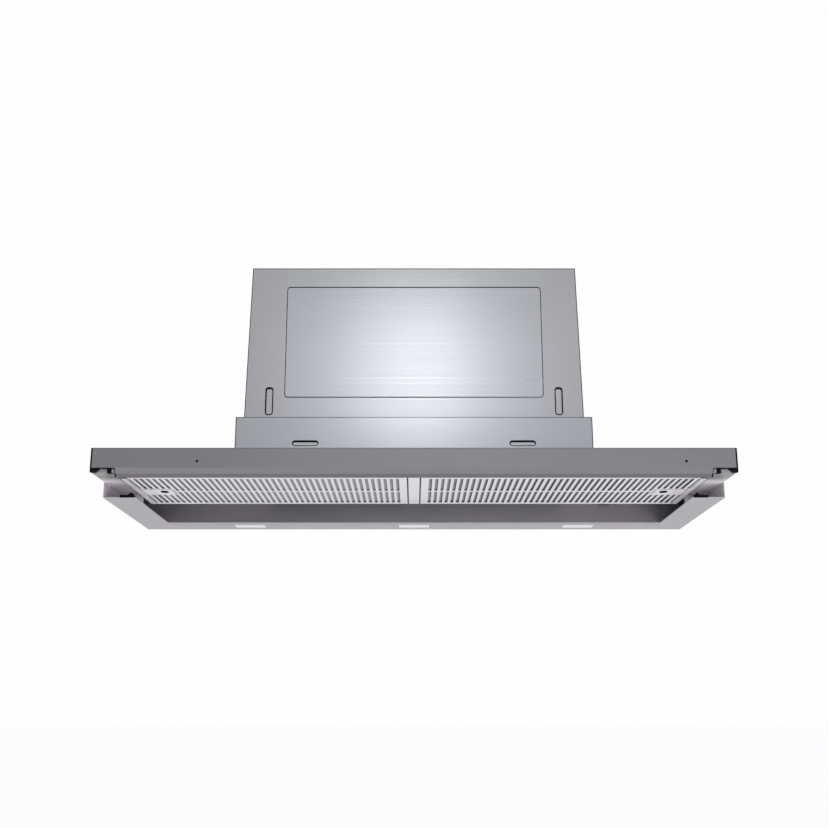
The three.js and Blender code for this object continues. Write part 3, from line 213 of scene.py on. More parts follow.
class Finish:
    """A node material. Its textures lie in the frame, as each piece's origin is the frame's."""

    def __init__(self, name, metallic):
        self.material = bpy.data.materials.new(name)
        self.material.use_nodes = True
        self.tree = self.material.node_tree
        self.nodes = self.tree.nodes
        self.shader = self.nodes["Principled BSDF"]
        self.shader.inputs["Metallic"].default_value = metallic
        self.place = self.nodes.new("ShaderNodeTexCoord").outputs["Object"]

    def link(self, out, into):
        self.tree.links.new(out, into)

    def noise(self, scale, detail, stretch=(1, 1, 1)):
        mapping = self.nodes.new("ShaderNodeMapping")
        mapping.inputs["Scale"].default_value = stretch
        self.link(self.place, mapping.inputs["Vector"])
        texture = self.nodes.new("ShaderNodeTexNoise")
        texture.inputs["Scale"].default_value = scale
        texture.inputs["Detail"].default_value = detail
        self.link(mapping.outputs["Vector"], texture.inputs["Vector"])
        return texture.outputs["Fac"]

    def ramp(self, value, base, spread, low=NOISE_LOW, high=NOISE_HIGH):
        """The base from a little darker to a little lighter, as a noise value rises."""
        node = self.nodes.new("ShaderNodeValToRGB")
        elements = node.color_ramp.elements
        elements[0].position = low
        elements[0].color = shaded(base, 1 - spread)
        elements[1].position = high
        elements[1].color = shaded(base, 1 + spread)
        self.link(value, node.inputs["Fac"])
        return node.outputs["Color"]

    def mix(self, factor, first, second):
        node = self.nodes.new("ShaderNodeMix")
        node.data_type = "RGBA"
        if isinstance(factor, float):
            node.inputs["Factor"].default_value = factor
        else:
            self.link(factor, node.inputs["Factor"])
        self.link(first, node.inputs["A"])
        self.link(second, node.inputs["B"])
        return node.outputs["Result"]

    def reckon(self, operation, *values):
        """The outcome of a sum on one or two values."""
        node = self.nodes.new("ShaderNodeMath")
        node.operation = operation
        for value, into in zip(values, node.inputs):
            self.link(value, into)
        return node.outputs[0]

    def scaled(self, value, start, end, low=0.0, high=1.0):
        """A value taken from one span to another, and held at the ends."""
        node = self.nodes.new("ShaderNodeMapRange")
        node.inputs["From Min"].default_value = start
        node.inputs["From Max"].default_value = end
        node.inputs["To Min"].default_value = low
        node.inputs["To Max"].default_value = high
        self.link(value, node.inputs["Value"])
        return node.outputs["Result"]

    def along(self, axis):
        """How far along an axis a point lies."""
        split = self.nodes.new("ShaderNodeSeparateXYZ")
        self.link(self.place, split.inputs["Vector"])
        return split.outputs[axis]

    def between(self, axis, low, high, soft=ZONE_EDGE):
        """1 between two places on an axis, else 0. X counts from the middle to both sides."""
        value = self.along(axis)
        if axis == "X":
            value = self.reckon("ABSOLUTE", value)
        rise = self.scaled(value, low - soft, low + soft)
        fall = self.scaled(value, high - soft, high + soft, 1.0, 0.0)
        return self.reckon("MULTIPLY", rise, fall)

    def inside(self, limits):
        """1 inside limits such as {"X": (low, high)} or {"X": (low, high, softness)}, else 0."""
        parts = [self.between(axis, *span) for axis, span in limits.items()]
        mask = parts[0]
        for part in parts[1:]:
            mask = self.reckon("MULTIPLY", mask, part)
        return mask

    def patches(self, tint, cloud, zones):
        """Other shades of the same finish. zones holds (shade, limits) pairs."""
        for shade, limits in zones:
            other = self.ramp(cloud, shade, CLOUDING)
            tint = self.mix(self.inside(limits), tint, other)
        return tint

    def fade(self, axis, near, far, first, second):
        """One shade turning into another between two places on an axis."""
        return self.mix(self.scaled(self.along(axis), near, far), first, second)

    def rough(self, value, middle, spread):
        """Roughness round a middle value, as a noise value rises."""
        outcome = self.scaled(value, NOISE_LOW, NOISE_HIGH, middle - spread, middle + spread)
        self.link(outcome, self.shader.inputs["Roughness"])

    def bump(self, value, depth, strength):
        node = self.nodes.new("ShaderNodeBump")
        node.inputs["Distance"].default_value = depth
        node.inputs["Strength"].default_value = strength
        self.link(value, node.inputs["Height"])
        self.link(node.outputs["Normal"], self.shader.inputs["Normal"])


def brushed(name, base, roughness, along="x", zones=()):
    """Brushed sheet: fine lines along one axis, with faint clouds of wear.

    zones holds (shade, limits) pairs: other shades inside the given limits.
    """
    finish = Finish(name, metallic=1.0)
    grain = finish.noise(scale=620, detail=3.0, stretch=GRAIN[along])
    cloud = finish.noise(scale=7, detail=3.0)
    smear = finish.noise(scale=260, detail=3.0, stretch=GRAIN[along])
    lines = finish.ramp(grain, base, CLOUDING)
    wear = finish.ramp(cloud, base, CLOUDING)
    tint = finish.mix(WEAR, lines, wear)
    tint = finish.patches(tint, cloud, zones)
    finish.link(tint, finish.shader.inputs["Base Color"])
    finish.rough(smear, roughness, spread=0.01)
    finish.bump(grain, BRUSH_DEPTH, strength=0.5)
    return finish.material


def satin(name, base, roughness, metallic=1.0, spread=0.04, fading=None, zones=(), dull=None):
    """Plain satin or zinc-plated sheet, with a fine grain and a little spangle.

    fading is (shade, axis, from, to): the base turns into that shade on the way.
    dull holds the limits inside which the surface has no metal's shine.
    """
    finish = Finish(name, metallic)
    grain = finish.noise(scale=1400, detail=3.0)
    cloud = finish.noise(scale=25, detail=4.0)
    tint = finish.ramp(cloud, base, spread)
    if fading:
        shade, axis, near, far = fading
        tint = finish.fade(axis, near, far, tint, finish.ramp(cloud, shade, spread))
    tint = finish.patches(tint, cloud, zones)
    finish.link(tint, finish.shader.inputs["Base Color"])
    if dull:
        shine = finish.scaled(finish.inside(dull), 0.0, 1.0, metallic, 0.0)
        finish.link(shine, finish.shader.inputs["Metallic"])
    finish.rough(cloud, roughness, spread=0.05)
    finish.bump(grain, SATIN_DEPTH, strength=0.4)
    return finish.material


def moulded(name, base, roughness, depth=MOULD_DEPTH, spread=0.12, gloss=0.5):
    """Moulded plastic with a fine grain and dust in it."""
    finish = Finish(name, metallic=0.0)
    finish.shader.inputs["Specular IOR Level"].default_value = gloss
    grain = finish.noise(scale=2200, detail=2.0)
    dust = finish.noise(scale=40, detail=4.0)
    tint = finish.ramp(dust, base, spread, low=0.35, high=0.75)
    finish.link(tint, finish.shader.inputs["Base Color"])
    finish.rough(dust, roughness, spread=0.06)
    finish.bump(grain, depth, strength=0.5)
    return finish.material


# ---------- zones of another shade ----------
# X counts from the middle to both sides. A third number is how softly that span ends.
FIELD = {"X": (0.0, EMBOSS_HALF), "Z": (EMBOSS_LOW, EMBOSS_HIGH)}
BORDER = {"X": (EMBOSS_HALF, PANEL_HALF), "Z": (PANEL_FOOT, PANEL_CREST)}
TOP_BAND = {"X": (0.0, EMBOSS_HALF), "Z": (EMBOSS_HIGH, PANEL_CREST)}
BAR_EDGE_SHADE = {  # painted shade: a dark line along the top of the bar's front
    "Y": (BAR_FACE - 1 * MM, BAR_FACE + 0.3 * MM),
    "Z": (BAR_TOP - 0.9 * MM, BAR_TOP + 1 * MM),
}
TRAY_INSIDE_LIT = {  # within the tray: painted light, near white and without shine where shade falls
    "X": (0.0, TRAY_HIGH.x - 0.4 * MM),
    "Y": (BODY_FRONT - 1 * MM, -1 * MM),
    "Z": (UNDERSIDE + 0.5 * MM, TRAY_TOP - 0.4 * MM),
}
TRAY_WALL_LIT = {**TRAY_INSIDE_LIT, "X": (426 * MM, TRAY_HIGH.x - 0.4 * MM)}  # its part by the side walls, painted lighter too, but less
REAR_BAND = {  # across the rear strip of the underside
    "X": (0.0, 400 * MM),
    "Y": (-58 * MM, -42 * MM),
    "Z": (-100 * MM, UNDERSIDE + 0.4 * MM),
}
# painted light on the arms' ledges: near white at the rear, less towards the front
LEDGE_REAR_LIT = {"X": (LEDGE_INNER, LEDGE_OUTER), "Y": (-290 * MM, 0.0, 20 * MM)}
LEDGE_FRONT_LIT = {"X": (LEDGE_INNER, LEDGE_OUTER), "Y": (-380 * MM, -290 * MM, 20 * MM)}
OUTER_SHEET_LIT = {  # painted light: the filter's lowest face near its outer edge, near white and without shine where shade falls
    "X": (392 * MM, 410 * MM, 5 * MM),
    "Y": (-345 * MM, -140 * MM),
    "Z": (-64.8 * MM, -63.9 * MM, 0.05 * MM),
}
CASSETTE_SIDE_SHADE = {  # painted shade: the filter's outer end, above that face, made dark
    "X": (384 * MM, 400.6 * MM),
    "Z": (-63.6 * MM, -40 * MM),
}
# painted shade: the light box darker towards both ends
LIGHT_BOX_ENDS_SHADE = {"X": (240 * MM, 600 * MM, 150 * MM)}

# ---------- finishes ----------
PANEL = brushed("panel_steel", colour(151, 153, 158), 0.28, zones=[
    (colour(151, 153, 158), FIELD),
    (colour(149, 151, 154), BORDER),
    (colour(150, 153, 154), TOP_BAND),
])
STEP = brushed("step_steel", colour(150, 153, 158), 0.26)
WRAP = brushed("wrap_steel", colour(152, 154, 158), 0.3, along="y")
BAR = brushed("bar_steel", colour(119, 119, 123), 0.42, zones=[
    (colour(48, 48, 51), BAR_EDGE_SHADE),
])
# the lower part of the return fades darker: painted shade under its bend
RETURN = satin(
    "return_steel", colour(140, 138, 143), 0.42, spread=0.03,
    fading=(colour(122, 119, 125), "Z", RETURN_BEND, RETURN_LOW))
HEM = satin("hem_steel", colour(138, 137, 141), 0.4, spread=0.03)
# inside the tray the colour is painted light: near white and dull, to look lit where it lies in
# shade
TRAY = satin("tray_steel", colour(165, 162, 166), 0.42, metallic=0.5, dull=TRAY_INSIDE_LIT, zones=[
    (colour(250, 246, 250), TRAY_INSIDE_LIT),
    (colour(198, 194, 198), TRAY_WALL_LIT),
    (colour(158, 155, 158), REAR_BAND),
])
# painted light: parts in this finish turn from a darker colour where lit to near white further
# back, where the tray shades them
ARM = satin(
    "arm_steel", colour(129, 126, 129), 0.42, metallic=0.0, spread=0.02,
    fading=(colour(240, 236, 240), "Y", -325 * MM, -296 * MM),
    zones=[
        (colour(250, 247, 251), LEDGE_REAR_LIT),
        (colour(212, 209, 213), LEDGE_FRONT_LIT),
    ])
FILTER = satin("filter_steel", colour(226, 224, 230), 0.38, dull=OUTER_SHEET_LIT, zones=[
    (colour(250, 247, 252), OUTER_SHEET_LIT),
    (colour(84, 83, 86), CASSETTE_SIDE_SHADE),
])
SHADE = satin("light_box_steel", colour(128, 125, 130), 0.5, metallic=0.6, zones=[
    (colour(106, 103, 108), LIGHT_BOX_ENDS_SHADE),
])
MESH = satin("mesh_aluminium", colour(158, 157, 161), 0.45, metallic=0.6)
ZINC = satin("zinc_plate", colour(160, 163, 167), 0.4, spread=0.09)
MOTOR = satin("motor_paint", colour(104, 106, 110), 0.45, metallic=0.6)
BUTTON = satin("button_steel", colour(170, 171, 175), 0.3)
# dark lines: painted shade along the sheets' edges and in the latch recess, and the real seams
# along the ledges
SHADE_AND_SEAM_LINE = moulded("shade_and_seam_line", colour(46, 45, 48), 0.7, gloss=0.1)
CREASE_SHADOW = moulded("crease_shadow", colour(20, 20, 22), 0.75, gloss=0.05)
# near black: painted shadow in the slot rims and finger holes; also the plugs, seals and end
# plates
DEEP = moulded("shadow_rim", colour(6, 6, 7), 0.75, gloss=0.03)
BLACK = moulded("black_plastic", colour(8, 8, 9), 0.65, gloss=0.08)
GREY = moulded("grey_plastic", colour(62, 64, 67), 0.55)
OPAL = moulded("opal_lens", colour(232, 229, 236), 0.35, depth=0.00001, spread=0.02)

DRESS = {  # how a node's name begins, and its finish
    "tray_shell": TRAY, "light_box": SHADE, "guide_rail": ARM, "front_pad": BLACK,
    "lamp_lens": OPAL, "lamp_board": ZINC, "plenum_box": STEP, "foot_plate": STEP,
    "housing_front": PANEL, "housing_wrap": WRAP, "clamp_plate": PANEL,
    "duct_collar": GREY, "flap_pin": ZINC, "flap_left": GREY, "flap_right": GREY,
    "cable_gland": BLACK, "fan_scroll": GREY, "impeller": GREY, "fan_motor": MOTOR,
    "motor_bracket": ZINC, "capacitor": ZINC, "electronics_box": GREY,
    "drawer_sensor": BLACK, "runner_fixed": ZINC, "runner_middle": ZINC,
    "runner_inner": ZINC, "side_arm": ARM, "arm_buffer": BLACK, "front_bar": BAR,
    "end_cap": BLACK, "control_strip": BLACK, "button": BUTTON, "front_rail": RETURN,
    "rear_rail": ARM, "centre_strip": FILTER, "air_screen": ZINC,
    "filter_pad": MESH, "filter_latch": FILTER, "filter": FILTER,
}
EDGE_BREAK = 0.22 * MM
EDGE_ANGLE = 35  # degrees


def dress_nodes():
    """Gives every CAD node its finish and slightly broken edges."""
    for name, node in NODES.items():
        key = max((k for k in DRESS if name.startswith(k)), key=len)
        for held in node.material_slots:
            held.material = DRESS[key]
        bevel = node.modifiers.new("soft_edges", "BEVEL")
        bevel.width = EDGE_BREAK
        bevel.segments = 2
        bevel.limit_method = "ANGLE"
        bevel.angle_limit = math.radians(EDGE_ANGLE)


# ---------- making pieces ----------
CORNER_STEPS = 6  # round each corner of a rounded rectangle
LATHE_SIDES = 14


def from_bmesh(name, work, material, body, smooth=False):
    """Turns a finished bmesh into a piece that rides on a body."""
    bmesh.ops.recalc_face_normals(work, faces=work.faces)
    mesh = bpy.data.meshes.new(name)
    work.to_mesh(mesh)
    work.free()
    mesh.materials.append(material)
    for face in mesh.polygons:
        face.use_smooth = smooth
    piece = bpy.data.objects.new(name, mesh)
    bpy.context.scene.collection.objects.link(piece)
    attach(piece, body)
    return piece


def joined(work, pairs):
    """Faces between the two rings of each pair."""
    for first, second in pairs:
        for i in range(len(first)):
            j = (i + 1) % len(first)
            work.faces.new((first[i], first[j], second[j], second[i]))


def capped(work, rings):
    """A closed body from one ring to the next, with its ends covered."""
    joined(work, zip(rings, rings[1:]))
    work.faces.new(rings[0][::-1])
    work.faces.new(rings[-1])


def rounded_ring(half_a, half_b, radius):
    """Points round a rounded rectangle about the origin, each with its outward angle."""
    points = []
    corners = [(1, -1, -90), (1, 1, 0), (-1, 1, 90), (-1, -1, 180)]
    for side_a, side_b, start in corners:
        for i in range(CORNER_STEPS + 1):
            angle = math.radians(start + 90 * i / CORNER_STEPS)
            points.append((
                side_a * (half_a - radius) + radius * math.cos(angle),
                side_b * (half_b - radius) + radius * math.sin(angle),
                angle,
            ))
    return points


def by_side(angle, top, side, low):
    """A value for the way a point of a ring looks: up, sideways or down."""
    lift = math.sin(angle)
    if lift > 0:
        return side + (top - side) * lift
    return side + (low - side) * -lift


def frame_strip(work, centre, half_a, half_b, radius, wide, proud, shift):
    """A raised strip round a rounded rectangle on a face that looks to -Y.

    wide, proud and shift each hold a value for the top, the sides and the bottom;
    shift moves the strip outwards from the rectangle.
    """
    rings = []
    section = [(-0.5, 0.0), (-0.5, 0.6), (-0.15, 1.0), (0.15, 1.0), (0.5, 0.6), (0.5, 0.0)]
    points = rounded_ring(half_a, half_b, radius)
    for across, lift in section:
        ring = []
        for a, b, angle in points:
            out = across * by_side(angle, *wide) + by_side(angle, *shift)
            deep = lift * by_side(angle, *proud)
            ring.append(work.verts.new((
                centre.x + a + out * math.cos(angle),
                centre.y - deep,
                centre.z + b + out * math.sin(angle))))
        rings.append(ring)
    joined(work, zip(rings, rings[1:] + rings[:1]))


def bead(work, start, end, out, wide, proud=BEAD_PROUD):
    """A thin bead from one point to another, on a face that looks along out."""
    start = Vector(start)
    end = Vector(end)
    run = (end - start).normalized()
    across = run.cross(-out)
    section = [(-0.5, 0.0), (-0.5, 0.6), (-0.2, 1.0), (0.2, 1.0), (0.5, 0.6), (0.5, 0.0)]
    rings = []
    for point in (start, end):
        rings.append([
            work.verts.new(point + across * (side * wide) + out * (lift * proud))
            for side, lift in section
        ])
    capped(work, rings)


def along_x(work, profile, start, end):
    """A closed bar with a section in y and z, from one x to another."""
    capped(work, [[work.verts.new((x, y, z)) for y, z in profile] for x in (start, end)])


def lathe(work, centre, normal, profile):
    """Turns a profile of (radius, height) about the normal through the centre."""
    turn = normal.to_track_quat("Z", "Y").to_matrix()
    rings = []
    for radius, height in profile:
        ring = []
        for i in range(LATHE_SIDES):
            angle = 2 * math.pi * i / LATHE_SIDES
            spot = Vector((radius * math.cos(angle), radius * math.sin(angle), height))
            ring.append(work.verts.new(centre + turn @ spot))
        rings.append(ring)
    capped(work, rings)


def screw_profile(radius):
    """A low round head with a hollow in its middle."""
    tall = radius * 0.55
    return [
        (radius, 0.0), (radius, tall * 0.35), (radius * 0.82, tall * 0.85),
        (radius * 0.5, tall), (radius * 0.34, tall * 0.95), (radius * 0.26, tall * 0.3),
    ]


def screws(name, spots, normal, radius=SCREW_RADIUS):
    """One piece with a screw head at each spot."""
    work = bmesh.new()
    for spot in spots:
        lathe(work, Vector(spot), Vector(normal), screw_profile(radius))
    from_bmesh(name, work, ZINC, "hood")


# ---------- front of the housing ----------
def emboss_shade_line():
    """Painted shadow along the crease round the raised field, widest along its top."""
    work = bmesh.new()
    middle = (EMBOSS_LOW + EMBOSS_HIGH) / 2
    half = (EMBOSS_HIGH - EMBOSS_LOW) / 2
    frame_strip(
        work, Vector((0, PANEL_FACE + SINK, middle)), EMBOSS_HALF, half, EMBOSS_RADIUS,
        wide=(0.3 * MM, 0.9 * MM, 0.7 * MM),
        proud=(EMBOSS_RISE, EMBOSS_RISE, 0.12 * MM),
        shift=(0.1 * MM, 0.3 * MM, 0.95 * MM))
    frame_strip(
        work, Vector((0, PANEL_LOW.y + SINK, middle)), EMBOSS_HALF, half, EMBOSS_RADIUS,
        wide=(1.5 * MM, 0.5 * MM, 0.15 * MM),
        proud=(0.15 * MM, 0.1 * MM, 0.1 * MM),
        shift=(-0.85 * MM, -0.3 * MM, -0.2 * MM))
    from_bmesh("emboss_shade_line", work, CREASE_SHADOW, "hood")


def slot_shadow_rims():
    """Painted shadow round the four slots in the front, as dark rims."""
    clamp = (
        "clamp_slot_shadow", CLAMP_SLOT, PANEL_FACE, CLAMP_SLOT_RADIUS,
        (2.2 * MM, 1.7 * MM, 1.75 * MM), (0.15 * MM, 0.1 * MM, 0.15 * MM))
    foot = (
        "foot_slot_shadow", FOOT_SLOT, PLENUM_LOW.y, FOOT_SLOT_RADIUS,
        (2.6 * MM, 1.5 * MM, 1.05 * MM), (-0.5 * MM, 0.1 * MM, -0.6 * MM))
    proud = (RIM_PROUD, RIM_PROUD, RIM_PROUD)
    for name, spot, face, radius, wide, shift in (clamp, foot):
        x, z, half_a, half_b = spot
        for side, word in SIDES:
            work = bmesh.new()
            centre = Vector((side * x, face + RIM_SINK, z))
            frame_strip(work, centre, half_a, half_b, radius, wide, proud, shift)
            from_bmesh(f"{name}_{word}", work, DEEP, "hood")


def edge_shade_lines():
    """Painted shade: dark lines along the edges of the housing's front and of the stepped foot.
    """
    inset = EDGE_LINE / 2 + EDGE_GAP
    half = PANEL_HIGH.x
    face = PANEL_FACE
    foot = PANEL_LOW.z
    top = PANEL_HIGH.z - inset
    corner = half - HOUSING_LEAN
    work = bmesh.new()
    bead(work, (-corner, face, top), (corner, face, top), FRONTWARD, EDGE_LINE)
    for side, _ in SIDES:
        low = (side * (half - inset), face, foot)
        high = (side * (corner - inset), face, top)
        bead(work, low, high, FRONTWARD, EDGE_LINE)
    from_bmesh("housing_edge_shade", work, SHADE_AND_SEAM_LINE, "hood")

    step = PLENUM_LOW.y
    reach = PLENUM_HIGH.x
    crest = PLENUM_HIGH.z - STEP_LINE_DROP
    work = bmesh.new()
    bead(work, (-reach, step, crest), (reach, step, crest), FRONTWARD, STEP_LINE)
    for side, _ in SIDES:
        x = side * (reach - inset)
        bead(work, (x, step, PLENUM_LOW.z), (x, step, crest), FRONTWARD, EDGE_LINE)
    from_bmesh("step_edge_shade", work, SHADE_AND_SEAM_LINE, "hood")


# ---------- drawer ----------
def bar_hem():
    """The bend between the bar's foot and its sloping return."""
    work = bmesh.new()
    face = BAR_FACE + SINK
    along_x(work, [
        (face, BAR_FOOT + 0.45 * MM), (face, BAR_FOOT - 0.15 * MM),
        (face + 0.3 * MM, BAR_FOOT - 0.45 * MM), (face + 1.0 * MM, BAR_FOOT - 0.95 * MM),
        (face + 1.4 * MM, BAR_FOOT - 0.7 * MM), (face + 1.4 * MM, BAR_FOOT + 0.45 * MM),
    ], -RAIL_END, RAIL_END)
    from_bmesh("bar_hem", work, HEM, "drawer")


def rail_ends():
    """Dark end plates of the return, and the grey cheeks beside the rubber blocks."""
    slope = (RAIL_LOW_Z - RAIL_TOP_Z) / (RAIL_LOW_Y - RAIL_TOP_Y)
    front = RAIL_TOP_Y + 0.1 * MM
    rear = RAIL_LOW_Y - 0.4 * MM
    level = RAIL_TOP_Z - 0.1 * MM
    foot = RAIL_TOP_Z + slope * (rear - RAIL_TOP_Y)
    plate = [
        (front, level), (rear, foot),
        (rear + 0.8 * MM, foot + 0.3 * MM), (rear + 0.8 * MM, level),
    ]
    cheek = [
        (CHEEK_FRONT, level), (CHEEK_FRONT, level - 5.6 * MM),
        (CHEEK_FRONT + 0.25 * MM, level - 6 * MM), (CHEEK_FRONT + 0.25 * MM, level),
    ]
    for side, word in SIDES:
        work = bmesh.new()
        along_x(work, plate, side * (RAIL_END + 0.15 * MM), side * END_PLATE_OUTER)
        from_bmesh(f"rail_end_{word}", work, DEEP, "drawer")
        work = bmesh.new()
        along_x(work, cheek, side * END_PLATE_OUTER, side * (BUFFER_INNER - 0.1 * MM))
        from_bmesh(f"rail_cheek_{word}", work, RETURN, "drawer")


def bar_plugs():
    """Black plugs in the bar's two holes."""
    profile = [
        (3.4 * MM, 0.0), (3.4 * MM, 0.3 * MM), (3.1 * MM, 0.42 * MM),
        (2.2 * MM, 0.42 * MM), (1.9 * MM, 1.1 * MM), (1.5 * MM, 1.15 * MM),
    ]
    for (x, z), (_, word) in zip(HOLES, SIDES):
        work = bmesh.new()
        lathe(work, Vector((x, BAR_FACE + PLUG_SEAT, z)), FRONTWARD, profile)
        from_bmesh(f"bar_plug_{word}", work, DEEP, "drawer", smooth=True)


def seam(work, x, wide):
    """A thin bead on the drawer's underside, from the filters' front to their back."""
    front = (x, FILTER_FRONT + SEAM_INSET, FILTER_FLOOR)
    back = (x, FILTER_BACK - SEAM_INSET, FILTER_FLOOR)
    bead(work, front, back, DOWNWARD, wide)


def drawer_seams():
    """Black seals beside the centre strip and fine seams along the ledges."""
    seal, seal_width = STRIP_SEAL
    for side, word in SIDES:
        work = bmesh.new()
        seam(work, side * seal, seal_width)
        from_bmesh(f"strip_seal_{word}", work, DEEP, "drawer")
        work = bmesh.new()
        for x, wide in LEDGE_SEAMS:
            seam(work, side * x, wide)
        from_bmesh(f"ledge_seams_{word}", work, SHADE_AND_SEAM_LINE, "drawer")


def pad_shadow_wedges():
    """Black wedges on the tray's corner pads: painted shadow in the corner between the arm's
    ledge and the pad.
    """
    for side, word in SIDES:
        low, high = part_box(f"front_pad_{word}")
        inner = min(abs(low.x), abs(high.x)) + 0.4 * MM
        profile = [
            (inner, high.z + 0.02 * MM), (inner + 0.3 * MM, high.z + 0.9 * MM),
            (inner + 3.2 * MM, high.z + 3.7 * MM), (inner + 5.2 * MM, high.z + 3.5 * MM),
            (inner + 8.6 * MM, high.z + 0.02 * MM),
        ]
        work = bmesh.new()
        capped(work, [
            [work.verts.new((side * x, y, z)) for x, z in profile]
            for y in (low.y + 1 * MM, high.y - 1 * MM)
        ])
        from_bmesh(f"pad_shadow_wedge_{word}", work, BLACK, "hood")


def finger_hole_shadow(work, centre):
    """A black cup in the latch's finger hole, open downwards: painted shadow in the hole."""
    wall = 0.4 * MM
    lip = 0.3 * MM
    thin = 0.12 * MM
    deep = 1.9 * MM
    section = [
        (0.0, deep), (0.0, 0.0), (lip, 0.0),
        (lip, -thin), (-wall, -thin), (-wall, deep - wall),
    ]
    rings = []
    for grow, level in section:
        outline = rounded_ring(
            FINGER_HALF_X + grow, FINGER_HALF_Y + grow, FINGER_RADIUS + grow)
        rings.append([
            work.verts.new((centre.x + a, centre.y + b, centre.z + level))
            for a, b, _ in outline
        ])
    capped(work, rings)


def latch_marks():
    """Painted shade: a dark line in the recess before each latch, and a dark cup as the shadow
    in its finger hole.
    """
    for side, word in SIDES:
        work = bmesh.new()
        inner = (side * LATCH_INNER, RECESS_Y, FILTER_FLOOR)
        outer = (side * LATCH_OUTER, RECESS_Y, FILTER_FLOOR)
        bead(work, inner, outer, DOWNWARD, RECESS_WIDTH, RECESS_PROUD)
        from_bmesh(f"latch_recess_shade_{word}", work, SHADE_AND_SEAM_LINE, f"filter_{word}")
        work = bmesh.new()
        finger_hole_shadow(work, Vector((side * FINGER_X, FINGER_Y, FILTER_FLOOR)))
        from_bmesh(f"finger_hole_shadow_{word}", work, DEEP, f"latch_{word}")


# ---------- screws on the sides and on top ----------
def housing_fasteners():
    """Screws up both edges of each side of the housing, and a row on each side of its foot."""
    for side, word in SIDES:
        spots = []
        for i in range(HOUSING_SCREWS):
            z = WRAP_LOW.z + HOUSING_SCREW_FOOT + i * HOUSING_SCREW_STEP
            lean = (z - WRAP_LOW.z) / (WRAP_HIGH.z - WRAP_LOW.z) * HOUSING_LEAN
            x = side * (WRAP_HIGH.x - lean)
            spots.append((x, WRAP_LOW.y + HOUSING_SCREW_FRONT, z))
            spots.append((x, HOUSING_SCREW_BACK, z))
        screws(f"housing_screws_{word}", spots, (side, 0, 0))
        level = PLENUM_HIGH.z - PLENUM_SCREW_DROP
        low = [(side * PLENUM_HIGH.x, y, level) for y in PLENUM_SCREWS_Y]
        screws(f"plenum_screws_{word}", low, (side, 0, 0))


def collar_fasteners():
    """Screws in a ring on the collar's flange."""
    centre = (COLLAR_LOW + COLLAR_HIGH) / 2
    seat = COLLAR_LOW.z + COLLAR_FLANGE
    spots = []
    for i in range(COLLAR_SCREWS):
        angle = math.radians(COLLAR_SCREW_START + 360 / COLLAR_SCREWS * i)
        spots.append((
            centre.x + COLLAR_SCREW_CIRCLE * math.cos(angle),
            centre.y + COLLAR_SCREW_CIRCLE * math.sin(angle),
            seat))
    screws("collar_screws", spots, (0, 0, 1))


def tray_fasteners():
    """Screws on the tray's top, beside the housing."""
    spots = [
        (side * x, y, TRAY_TOP)
        for side, _ in SIDES for x in TRAY_SCREWS_X for y in TRAY_SCREWS_Y
    ]
    screws("tray_screws", spots, (0, 0, 1), TRAY_SCREW_RADIUS)


# ---------- filters ----------
def mesh_layers(word):
    """Layers of expanded aluminium, in place of the plain pad."""
    low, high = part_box(f"filter_pad_{word}")
    latch_low, latch_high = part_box(f"filter_latch_{word}")
    thick = high.z - low.z
    columns = int((high.x - low.x - 2 * MESH_MARGIN) / MESH_CELL)
    rows = int((high.y - low.y - 2 * MESH_MARGIN) / MESH_CELL)

    def under_latch(point):
        """Whether a point lies where the latch needs room."""
        before_x, after_x = LATCH_ROOM_X
        before_y, after_y = LATCH_ROOM_Y
        inside_x = latch_low.x - before_x < point.x < latch_high.x + after_x
        inside_y = latch_low.y - before_y < point.y < latch_high.y + after_y
        return inside_x and inside_y

    work = bmesh.new()
    for layer in range(MESH_LAYERS):
        level = low.z + thick * (MESH_FIRST + MESH_RISE * layer)
        grid = []
        for j in range(rows + 1):
            line = []
            for i in range(columns + 1):
                sign = 1 if (i + j + layer) % 2 else -1
                line.append(work.verts.new((
                    low.x + MESH_MARGIN + i * MESH_CELL,
                    low.y + MESH_MARGIN + j * MESH_CELL,
                    level + sign * MESH_WAVE)))
            grid.append(line)
        for near, far in zip(grid, grid[1:]):
            for i in range(columns):
                if layer == 0 and under_latch(near[i].co):
                    continue
                work.faces.new((near[i], near[i + 1], far[i + 1], far[i]))
    loose = [v for v in work.verts if not v.link_faces]
    bmesh.ops.delete(work, geom=loose, context="VERTS")
    piece = from_bmesh(f"mesh_layers_{word}", work, MESH, f"filter_{word}")
    solid = piece.modifiers.new("strand", "SOLIDIFY")
    solid.thickness = MESH_STRAND
    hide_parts(f"filter_pad_{word}")


# ---------- camera, lamps, floor ----------
def camera():
    """A camera at the photograph's place, below the hood's front."""
    data = bpy.data.cameras.new("camera")
    data.sensor_width = SENSOR
    data.lens = FOCAL_PX / IMAGE_SIDE * SENSOR
    eye = bpy.data.objects.new("camera", data)
    eye.location = (0, BODY_FRONT - CAMERA_AHEAD, UNDERSIDE - CAMERA_BELOW)
    eye.rotation_euler = (math.radians(90 + CAMERA_PITCH), 0, 0)
    bpy.context.scene.collection.objects.link(eye)
    bpy.context.scene.camera = eye


def area_lamp(name, place, aim, size, power):
    data = bpy.data.lights.new(name, "AREA")
    data.shape = "RECTANGLE"
    data.size, data.size_y = size
    data.energy = power
    lamp = bpy.data.objects.new(name, data)
    lamp.location = place
    lamp.rotation_mode = "QUATERNION"
    lamp.rotation_quaternion = (Vector(aim) - Vector(place)).to_track_quat("-Z", "Y")
    bpy.context.scene.collection.objects.link(lamp)


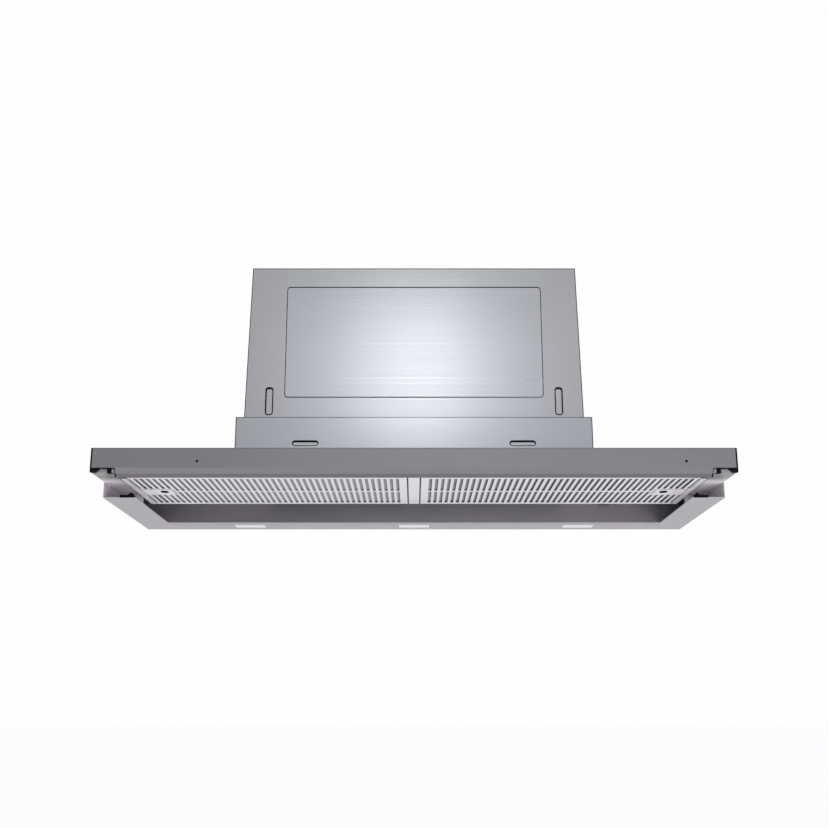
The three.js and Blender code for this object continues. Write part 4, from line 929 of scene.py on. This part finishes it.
def seen_plainly(tree):
    """1 for rays from the camera, a mirror or glass, else 0."""
    path = tree.nodes.new("ShaderNodeLightPath")
    outcome = path.outputs["Is Camera Ray"]
    for kind in ("Is Glossy Ray", "Is Transmission Ray"):
        either = tree.nodes.new("ShaderNodeMath")
        either.operation = "MAXIMUM"
        tree.links.new(outcome, either.inputs[0])
        tree.links.new(path.outputs[kind], either.inputs[1])
        outcome = either.outputs[0]
    return outcome


def shader(tree, kind, shade, strength=None):
    """A shader of one colour and, if it gives light, its strength."""
    node = tree.nodes.new(kind)
    node.inputs["Color"].default_value = shade
    if strength is not None:
        node.inputs["Strength"].default_value = strength
    return node.outputs[0]


def mixed_surface(tree, output, factor, first, second):
    """Gives a tree an output that mixes two shaders."""
    mixed = tree.nodes.new("ShaderNodeMixShader")
    out = tree.nodes.new(output)
    tree.links.new(factor, mixed.inputs["Fac"])
    tree.links.new(first, mixed.inputs[1])
    tree.links.new(second, mixed.inputs[2])
    tree.links.new(mixed.outputs[0], out.inputs["Surface"])


def world():
    """Soft light from all sides, seen as a plain white backdrop."""
    made = bpy.data.worlds.new("studio")
    bpy.context.scene.world = made
    made.use_nodes = True
    tree = made.node_tree
    tree.nodes.clear()
    ambient = shader(tree, "ShaderNodeBackground", AMBIENT, AMBIENT_STRENGTH)
    plain = shader(tree, "ShaderNodeBackground", BACKDROP, 1.0)
    mixed_surface(tree, "ShaderNodeOutputWorld", seen_plainly(tree), ambient, plain)


def floor_paint():
    """Matt paint that looks almost as white as the backdrop, yet keeps a shadow."""
    material = bpy.data.materials.new("floor_paint")
    material.use_nodes = True
    tree = material.node_tree
    tree.nodes.clear()
    matt = shader(tree, "ShaderNodeBsdfDiffuse", FLOOR_PAINT)
    glow = shader(tree, "ShaderNodeEmission", BACKDROP, 1.0)
    share = tree.nodes.new("ShaderNodeMath")
    share.operation = "MULTIPLY"
    share.inputs[1].default_value = FLOOR_GLOW
    tree.links.new(seen_plainly(tree), share.inputs[0])
    mixed_surface(tree, "ShaderNodeOutputMaterial", share.outputs[0], matt, glow)
    return material


def floor():
    mesh = bpy.data.meshes.new("floor")
    work = bmesh.new()
    bmesh.ops.create_circle(work, cap_ends=True, radius=FLOOR_RADIUS, segments=FLOOR_EDGES)
    work.to_mesh(mesh)
    work.free()
    mesh.materials.append(floor_paint())
    ground = bpy.data.objects.new("floor", mesh)
    ground.location = (0, 0, -FLOOR_DROP)
    bpy.context.scene.collection.objects.link(ground)


def lighting():
    """The world and the lamps, shown without a film look."""
    bpy.context.scene.view_settings.view_transform = "Standard"
    world()
    for lamp in LAMPS:
        area_lamp(*lamp)


# ---------- the scene ----------
camera()
dress_nodes()
emboss_shade_line()
slot_shadow_rims()
edge_shade_lines()
bar_hem()
rail_ends()
bar_plugs()
drawer_seams()
pad_shadow_wedges()
latch_marks()
housing_fasteners()
collar_fasteners()
tray_fasteners()
for _, side_word in SIDES:
    mesh_layers(side_word)
lighting()
floor()
